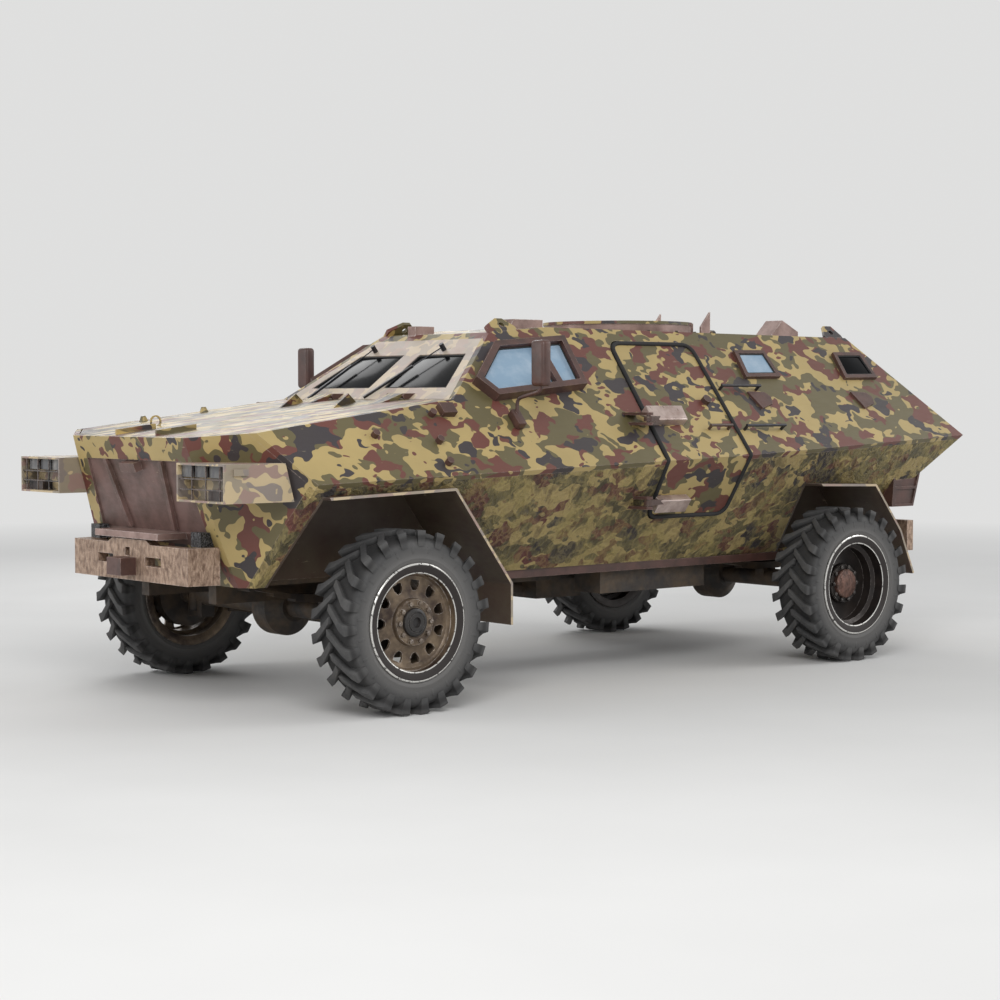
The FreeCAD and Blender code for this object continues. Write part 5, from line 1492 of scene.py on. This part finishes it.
@dataclass
class SideDoors:
    """Rubber seals and bright hinge straps of the two side doors, in millimetres."""

    outline: tuple[Place2, ...] = ((1481, 1918), (1569, 1250), (1503, 922), (865, 922), (902, 1270),
                                   (843, 1918))
    radii: tuple[float, ...] = (0.078, 0.012, 0.078, 0.078, 0.012, 0.078)
    bead: float = 13.0
    straps: tuple[tuple[str, tuple[Place2, ...]], ...] = (
        ("upper", ((1563, 1445), (1290, 1445), (1272, 1525), (1549, 1525))),
        ("lower", ((1519, 976), (1272, 976), (1272, 1048), (1532, 1048))))
    seal_proud: float = 3.0
    strap_proud: float = 52.0

    def build(self, finishes: "Finishes") -> None:
        """Model the left side's pieces and mirror them.

        Args:
            finishes: The vehicle's materials.
        """
        path = round_path([flank(x, z, self.seal_proud) for x, z in self.outline], self.radii, True)
        seal = Form.tube("door_seal_left", path, self.bead / 1000, True, 4).paint(finishes.rubber)
        seal.both("door_{}", "tyre_rubber")
        for label, corners in self.straps:
            low = [flank(x, z, 0.0) for x, z in corners]
            mid = [flank(x, z, self.strap_proud - 3) for x, z in corners]
            top = [flank(x, z, self.strap_proud) for x, z in shrunk(corners, 2.5)]
            strap = Form.loft(f"hinge_strap_{label}_left", low, mid, top).bevel(0.003, 3, 20)
            strap.paint(finishes.bright).both("door_{}", "fittings_brown")


@dataclass
class Windows:
    """Glass panes with gaskets, in the frames of the sides and the windscreen, in millimetres."""

    stretch: float = math.hypot(1.0, SIDE_SLOPE)
    side_outline: tuple[Place2, ...] = ((1857.1, 1920), (2389.1, 1877.96), (2657.1, 1677.95), (2569.1, 1581),
                                        (1893.9, 1645.07))
    side_frame: float = 38.0
    post: tuple[float, float] = (2067.9, 2111.9)
    vision: tuple[Place2, ...] = ((0, 4.98), (0, 166), (261, 162.68), (300, 0))
    vision_reaches: tuple[float, float] = (259.87, -616.0)
    vision_foot: float = 1715.0
    vision_frame: float = 26.0
    screen_corners: tuple[Place2, ...] = ((69, 1656), (626, 1656), (484, 1846), (69, 1846))

    def pane(self, name: str, outline: Sequence[Place2], low: float, high: float,
             where: Callable[[float, float, float], Vector]) -> Form:
        """Thick pane with ground edges.

        Args:
            name: Name of the pane.
            outline: Corners of the pane on its plate.
            low: Distance of the inner face out from the plate.
            high: Distance of the outer face.
            where: Place of a point on that plate.

        Returns:
            The pane.
        """
        rows = ((outline, low), (outline, high - 2), (shrunk(outline, 3.0), high))
        rings = [[where(a, b, proud) for a, b in corners] for corners, proud in rows]
        return Form.loft(name, *rings).bevel(0.001, 1, 20)

    def gasket(self, name: str, outline: Sequence[Place2], proud: float, radius: float,
               where: Callable[[float, float, float], Vector]) -> Form:
        """Rubber bead round a pane."""
        path = round_path([where(a, b, proud) for a, b in outline], [0.014] * len(outline), True, 4)
        return Form.tube(name, path, radius / 1000, True, 3)

    def build(self, finishes: "Finishes") -> None:
        """Model the left side's panes and the windscreen's, and mirror them.

        Args:
            finishes: The vehicle's materials.
        """
        opening = shrunk(self.side_outline, self.side_frame, self.stretch)
        glass = {"front": finishes.side_glass, "rear": finishes.black_glass}
        for label, limit in zip(("rear", "front"), self.post):
            outline = kept(opening, limit, label == "front")
            self._pair(f"side_pane_{label}", outline, 12, 30, finishes.side_glass, finishes, flank)
        for label, reach in zip(("front", "rear"), self.vision_reaches):
            corners = [(reach + a, self.vision_foot + b) for a, b in self.vision]
            outline = shrunk(corners, self.vision_frame, self.stretch)
            self._pair(f"vision_pane_{label}", outline, -1, 17, glass[label], finishes, flank)
        outline = shrunk(self.screen_corners, 2)
        self._pair("windscreen_pane", outline, -26, -8, finishes.black_glass, finishes, screen)

    def _pair(self, name: str, outline: Sequence[Place2], low: float, high: float, finish: bpy.types.Material,
              finishes: "Finishes", where: Callable[[float, float, float], Vector]) -> None:
        """One pane with its gasket, on both sides.

        Args:
            name: Name of the pane.
            outline: Its corners.
            low: Distance of its inner face out from the plate.
            high: Distance of its outer face.
            finish: Material of the glass.
            finishes: The vehicle's materials.
            where: Place of a point on its plate.
        """
        glass = self.pane(name + "_left", outline, low, high, where).paint(finish)
        bead = self.gasket(name + "_gasket_left", shrunk(outline, 3), high + 1, 5.5, where)
        bead.paint(finishes.rubber)
        glass.both("hull", "window_glass", "window_panes")
        bead.both("hull", "tyre_rubber")


@dataclass
class Mirrors:
    """Rounded mirror heads on bent rods, with their feet on the upper plates, in millimetres."""

    low: Place = (2440, 1029.5, 1661)
    high: Place = (2504, 1136.5, 1908)
    corner: float = 21.0
    rod_radius: float = 10.0
    foot: Place2 = (2508, 1470)
    foot_half: Place2 = (27, 40)
    foot_proud: float = 50.0
    bend_height: float = 1596.0
    neck: float = 26.0

    def build(self, finishes: "Finishes") -> None:
        """Model the left mirror and mirror it.

        Args:
            finishes: The vehicle's materials.
        """
        head = Form.block("mirror_left", spot(*self.low), spot(*self.high))
        head.bevel(self.corner / 1000, 5, 30).smooth(40)
        seat = flank(*self.foot, self.foot_proud / 2)
        x, y = ((a + b) / 2 for a, b in zip(self.low[:2], self.high[:2]))
        path = round_path([seat, Vector((seat.x, seat.y, self.bend_height / 1000)),
                           spot(x, y, self.low[2] - self.neck), spot(x, y, self.low[2] + 30)],
                          [0.03] * 4, False, 4)
        rod = Form.tube("mirror_rod", path, self.rod_radius / 1000, False, 4)
        (x, z), (wide, tall) = self.foot, self.foot_half
        corners = [(x + wide, z - tall), (x - wide, z - tall), (x - wide, z + tall), (x + wide, z + tall)]
        rings = [[flank(a, b, proud) for a, b in corners] for proud in (0, self.foot_proud)]
        foot = Form.loft("mirror_foot", *rings)
        head.join(rod, foot.bevel(0.006, 3, 30)).paint(finishes.brown)
        pane = Form.block("mirror_pane_left", spot(self.low[0] - 1.5, self.low[1] + 14, self.low[2] + 20),
                          spot(self.low[0] + 2, self.high[1] - 14, self.high[2] - 20)).bevel(0.001, 1, 30)
        pane.paint(finishes.silver)
        head.both("hull", "fittings_brown", "mirrors")
        pane.both("hull", "window_glass", "mirrors")


@dataclass
class HatchBolts:
    """Hexagon bolts with washers on the roof, round the hatch ring; in metres, but for the reach."""

    reach: float = 875.0
    circle: float = 0.515
    count: int = 16
    size: float = 0.0095
    height: float = 0.008
    roof_slope: float = 0.0064

    def one(self) -> Form:
        """A bolt on its washer, standing on the origin.

        Returns:
            The bolt.
        """
        washer = Form.bar("washer", Vector((0, 0, -0.002)), Vector((0, 0, 0.0022)), self.size * 1.35, 20)
        head = Form.bar("bolt", Vector((0, 0, 0.001)), Vector((0, 0, self.height)), self.size, 6)
        return head.bevel(0.0014, 2, 40).join(washer.bevel(0.0006, 1, 40))

    def build(self, finishes: "Finishes") -> None:
        """Set the whole circle as one piece.

        Args:
            finishes: The vehicle's materials.
        """
        model = self.one()
        middle = spot(self.reach, 0, roof_z(self.reach))
        copies = []
        for k in range(self.count):
            angle = 2 * math.pi * k / self.count
            ahead, aside = math.cos(angle), math.sin(angle)
            place = middle + Vector((ahead, aside, ahead * self.roof_slope)) * self.circle
            copies.append(model.copy("bolt").move(place))
        model.discard()
        circle = copies[0].join(*copies[1:])
        circle.item.name = circle.item.data.name = "hatch_bolts"
        circle.paint(finishes.dark_steel).done("hull", "hull_armour")


@dataclass
class CrewCushions:
    """Seat and back pads of the crew, soft and crowned, in millimetres, with their relief in metres."""

    chair_reach: float = 1980.0
    chair_length: float = 460.0
    chair_width: float = 470.0
    chair_half_track: float = 380.0
    seat_height: float = 1080.0
    thickness: float = 110.0
    back_height: float = 560.0
    back_lean: float = 70.0
    bench: tuple[Place2, ...] = ((-396, 254), (696, 596))
    bench_top: float = 1136.0
    hollow: float = 0.004
    channel: float = 0.010
    facing: float = 0.9

    def pad(self, name: str, low: Vector, high: Vector, lean: float = 0.0) -> Form:
        """Padded block, crowned, with sewn channels across it.

        Args:
            name: Name of the pad.
            low: Its lowest corner.
            high: Its highest corner.
            lean: Set back of the top, in metres.

        Returns:
            The pad.
        """
        form = Form.block(name, low, high)
        form.edit()
        bpy.ops.mesh.subdivide(number_cuts=7)
        size = high - low
        thin = min(range(3), key=lambda k: size[k])
        long = max(range(3), key=lambda k: size[k])
        inwards = Vector((0, 0, 0))
        inwards[thin] = -1.0
        form.faces(lambda c, n: n[thin] > self.facing)
        bpy.ops.mesh.select_less()
        bpy.ops.transform.translate(value=inwards * self.hollow)
        for share in (0.25, 0.5, 0.75):
            line = low[long] + size[long] * share
            form.faces(lambda c, n: n[thin] > self.facing and abs(c[long] - line) < size[long] / 15)
            bpy.ops.transform.translate(value=inwards * self.channel)
        form.rest()
        form.soften(2)
        if lean:
            form.edit()
            angle = math.atan2(lean, high.z - low.z)
            bpy.ops.transform.rotate(value=angle, orient_axis="Y",
                                     center_override=Vector((high.x, (low.y + high.y) / 2, low.z)))
            form.rest()
        return form

    def build(self, finishes: "Finishes") -> None:
        """Model the left side's pads and mirror them.

        Args:
            finishes: The vehicle's materials.
        """
        low_y, high_y = (self.chair_half_track + sign * (self.chair_width / 2 - 3) for sign in (-1, 1))
        foot = self.seat_height - self.thickness
        pads = [self.pad("chair_seat_left", spot(self.chair_reach + 104, low_y, foot),
                         spot(self.chair_reach + self.chair_length - 2, high_y, self.seat_height)),
                self.pad("chair_back_left", spot(self.chair_reach + 2, low_y, foot + 6),
                         spot(self.chair_reach + self.thickness - 8, high_y,
                              self.seat_height + self.back_height - 12), self.back_lean / 1000)]
        (rear, inner), (front, outer) = self.bench
        pads.append(self.pad("bench_pad_left", spot(rear, inner, self.bench_top - self.thickness),
                             spot(front, outer, self.bench_top)))
        for pad in pads:
            for piece in pad.paint(finishes.fabric).both("hull", "cushion_fabric", "crew_cushions"):
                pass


# Choice of finishes

STEEL_SOIL = (86, 70, 52)
PALE_WEAR = (206, 198, 192)
# Boxes on the left side, by their lowest and highest corners, whose paint differs from the rest of the node
NOSE_ZONES: tuple[Zone, ...] = (((4000, -600, 850), (4420, 468.5, 1281)),)
NOSE_LEAN = 0.1324
ARM_ZONES: tuple[Zone, ...] = (
    ((900, upper_y(1000, 1900) + 4, 1300), (1700, upper_y(1000, 1900) + 200, 1900)),
    ((1480, 860, 970), (1700, 1240, 1052)))
LAMP_ZONES: tuple[Zone, ...] = (
    *(((4338, 590 + 426 * share - 51, 1211), (4403, 590 + 426 * share + 51, 1271))
      for share in (0.15, 0.44, 0.74)),
    ((4338, 829, 1099), (4403, 981, 1153)),
    ((4415, 600.5, 1100.5), (4427, 1005.5, 1269.5)))
MESH_ZONES: tuple[Zone, ...] = (((4189, 454, 850.6), (4267, 546, 927)),)
# Bright rings on the rims' lips: middle radius and half width, in metres
LIP_RINGS = ((0.298, 0.0055), (0.2505, 0.0045))
HUBS = {"front": (spot(WHEELBASE, 0, 0).x, AXLE_HEIGHT / 1000), "rear": (spot(0, 0, 0).x, AXLE_HEIGHT / 1000)}


class Finishes:
    """Every material of the vehicle, made once."""

    def __init__(self) -> None:
        """Make the materials."""
        self.satin = Blotches("camouflage_satin").make()
        self.brown = Steel("brown_paint", (88, 60, 53), (62, 44, 39), (176, 152, 142), 0.42).make()
        self.bright = Steel("worn_bright_steel", (196, 178, 170), (140, 116, 106), (244, 242, 240), 0.34, 0.4,
                            0.012).make()
        self.dark_steel = Steel("dark_steel", (52, 46, 44), STEEL_SOIL, (150, 140, 130), 0.5, 0.3).make()
        front_rim = Steel("rim_paint_front", (56, 43, 37), (138, 120, 98), PALE_WEAR, 0.42, 0.35, 0.006)
        rear_rim = Steel("rim_paint_rear", (34, 30, 29), (52, 44, 40), PALE_WEAR, 0.42, 0.35)
        self.rim = {"front": front_rim.make(), "rear": rear_rim.make()}
        self.hub = {
            "front": Steel("black_hub_paint", (26, 25, 26), (44, 40, 38), (120, 116, 112), 0.4).make(),
            "rear": CastPlate("cast_brown", (120, 88, 76), (62, 42, 36)).make()}
        self.lip = {end: FlakedSteel("flaked_lip_" + end, (38, 32, 30), 0.6, hub, LIP_RINGS).make()
                    for end, hub in HUBS.items()}
        self.tyre = {end: Rubber("tyre_rubber_" + end, (52, 52, 53), (108, 106, 104), 0.5, 0.0014, hub).make()
                     for end, hub in HUBS.items()}
        self.rubber = Rubber("dark_rubber", (26, 26, 27), (60, 57, 54), 0.25, 0.0005).make()
        self.side_glass = Glazing("side_glass", (140, 166, 188), 0.08, (188, 202, 214), 0.6).make()
        self.black_glass = Glazing("dark_glass", (8, 9, 11), 0.12, (34, 38, 44), 0.25, 1.14).make()
        self.silver = Glazing("mirror_silver", (190, 196, 200), 0.04, (150, 154, 156), 0.3, 2.2).make()
        self.fabric = Fabric("cushion_fabric", (70, 72, 54), (102, 100, 78)).make()

    def rows(self) -> dict[bpy.types.Material, tuple[str, ...]]:
        """CAD nodes that have another finish than the satin camouflage, by their material.

        Returns:
            The names of the nodes for each material.
        """
        handle = Steel("handle_steel", (44, 46, 52), (58, 52, 50), (130, 134, 140), 0.38, 0.4)
        rose = Steel("rose_worn_paint", (158, 132, 124), (112, 88, 80), (230, 222, 216), 0.4, 0.3, 0.007)
        return {
            self.brown: ("sills", "window_frames", "side_fittings", "hinge_brackets", "rear_boxes", "mirrors",
                         "tow_jaw_front", "tow_jaw_rear"),
            Blotches("camouflage_muddy", Coat.MUDDY).make():
                ("hull_lower_side_left", "hull_lower_side_right", "hull_rear_lower"),
            Blotches("camouflage_streaked", Coat.STREAKED, shift=2.3).make(): ("bonnet",),
            # Windscreen plate paled all over: painted highlight on the slanted plate
            Blotches("camouflage_painted_highlight", paling=0.6, shift=5.1).make(): ("hull_windscreen_plate",),
            Blotches("camouflage_nose", zones=NOSE_ZONES, lean=NOSE_LEAN).make(): ("hull_front",),
            Blotches("camouflage_doors", zones=ARM_ZONES, lean=SIDE_SLOPE, plain=(72, 52, 47)).make():
                ("door_left", "door_right"),
            # Lamp pods paled: painted highlight
            Blotches("camouflage_pods", paling=0.3, shift=7.4, zones=LAMP_ZONES, plain=(30, 30, 33)).make():
                ("lamp_pods",),
            # Inner faces of the arches a plain brown, its darkness painted shade; outer lips paler camouflage
            Blotches("arch_paint", paling=0.4, shift=3.7, plain=(88, 76, 62), lips_only=True).make():
                ("wheel_arches",),
            rose.make(): ("roof_fittings", "hatch_ring", "front_shelf"),
            handle.make(): ("grab_handles", "wipers"),
            CastPlate("cast_tan", (176, 150, 130), (112, 88, 72), MESH_ZONES).make():
                ("bumper_front", "bumper_rear"),
            Steel("chassis_paint", (46, 41, 38), STEEL_SOIL, (106, 96, 84), 0.6).make():
                ("front_axle", "rear_axle", "knuckle_left", "knuckle_right", "tie_rod", "leaf_springs",
                 "chassis_frame", "drive_line", "fuel_tanks", "engine_block", "hull_floor",
                 "engine_bulkhead"),
            Glazing("lamp_glass", (96, 96, 98), 0.06, (196, 190, 180), 0.5).make(): ("lamp_glasses",),
            Steel("inside_paint", (150, 152, 142), (110, 108, 98), (180, 178, 170)).make():
                ("chair_and_bench_frames",),
            Steel("dash_plastic", (38, 38, 40), (48, 46, 44), (70, 68, 66), 0.6).make(): ("dashboard",)}

    def dress(self, nodes: dict[str, bpy.types.Object]) -> None:
        """Give every CAD node its material.

        Args:
            nodes: The frame's nodes by name.
        """
        chosen = {name: finish for finish, names in self.rows().items() for name in names}
        for name, node in nodes.items():
            for slot in node.material_slots:
                slot.material = chosen.get(name, self.satin)
            LOG.info("%s has %s", name, chosen.get(name, self.satin).name)


# Studio and main


@dataclass
class Studio:
    """Camera, floor, lamps and background."""

    eye: Place = (8.2116, 9.4189, 1.5799)
    yaw: float = -130.490
    pitch: float = -2.700
    lens: float = 75.11
    film_width: float = 36.0
    farthest: float = 200.0
    floor_size: float = 160.0
    floor_fade: Place2 = (4.5, 16.0)
    backdrop: Colour = (0.74, 0.74, 0.735)
    sky: Colour = (0.66, 0.68, 0.7)
    sky_strength: float = 0.6
    aim: Place = (0.0, 0.0, 0.9)
    lamp_size: float = 5.0
    lamps: tuple[tuple[Place, float], ...] = (((6.5, 7.0, 6.5), 520.0), ((9.0, -5.0, 4.0), 260.0),
                                              ((-7.5, 5.5, 5.0), 260.0), ((-3.0, -7.0, 5.5), 200.0))

    def camera(self) -> None:
        """Camera at the photograph's place."""
        yaw, pitch = math.radians(self.yaw), math.radians(self.pitch)
        way = Vector((math.cos(yaw) * math.cos(pitch), math.sin(yaw) * math.cos(pitch), math.sin(pitch)))
        bpy.ops.object.camera_add(location=self.eye, rotation=way.to_track_quat("-Z", "Y").to_euler())
        camera = bpy.context.object
        camera.data.lens = self.lens
        camera.data.sensor_width = self.film_width
        camera.data.clip_end = self.farthest
        bpy.context.scene.camera = camera

    def floor(self) -> None:
        """Large pale floor that runs into the backdrop's tone far from the vehicle."""
        bpy.ops.mesh.primitive_plane_add(size=self.floor_size)
        floor = bpy.context.object
        floor.name = "studio_floor"
        mix = Recipe("studio_floor")
        clouds = mix.band(mix.noise(0.6, 3, 0.5), 0.3, 0.7)
        colour = mix.mix(clouds, paint(222, 221, 219), paint(228, 227, 225))
        floor.data.materials.append(mix.settle(Base_Color=colour, Roughness=0.85))
        far = mix.band(mix.vector("LENGTH", mix.place).outputs["Value"], *self.floor_fade)
        glow = mix.add("Emission", Color=self.backdrop, Strength=1.0).outputs["Emission"]
        surface = mix.blend(mix.sum("MULTIPLY", far, mix.seen()), mix.shader.outputs["BSDF"], glow)
        mix.feed(mix.nodes["Material Output"].inputs["Surface"], surface)
        floor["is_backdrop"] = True

    def lights(self) -> None:
        """Soft lamps round the vehicle and a pale world."""
        for place, power in self.lamps:
            turn = (Vector(self.aim) - Vector(place)).to_track_quat("-Z", "Y").to_euler()
            bpy.ops.object.light_add(type="AREA", location=place, rotation=turn)
            lamp = bpy.context.object.data
            lamp.size = self.lamp_size
            lamp.energy = power
        world = bpy.data.worlds.new("studio_world")
        bpy.context.scene.world = world
        world.use_nodes = True
        world.node_tree.nodes.clear()
        sky = Nodes(world.node_tree)
        backs = [sky.add("Background", Color=colour, Strength=strength).outputs["Background"]
                 for colour, strength in ((self.sky, self.sky_strength), (self.backdrop, 1.0))]
        sky.add("OutputWorld", Surface=sky.blend(sky.seen(), *backs))
        bpy.context.scene.view_settings.view_transform = "Standard"

    def build(self) -> None:
        """Set up the whole studio."""
        self.camera()
        self.floor()
        self.lights()


def plain(box: Iterable[Iterable[float]]) -> list[list[float]]:
    """A box's corners as plain lists of numbers."""
    return [[float(value) for value in corner] for corner in box]


def main() -> None:
    """Build and dress the vehicle around its frame."""
    logging.basicConfig(level=logging.INFO, format="%(message)s")
    cad_box = plain(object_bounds())
    finishes = Finishes()
    finishes.dress(frame["nodes"])
    for assembly in (Wheels(), SideDoors(), Windows(), Mirrors(), HatchBolts(), CrewCushions()):
        LOG.info("building %s", type(assembly).__name__)
        assembly.build(finishes)
    Studio().build()
    {"cad": cad_box, "visual": plain(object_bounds())}


if __name__ == "__main__":
    main()
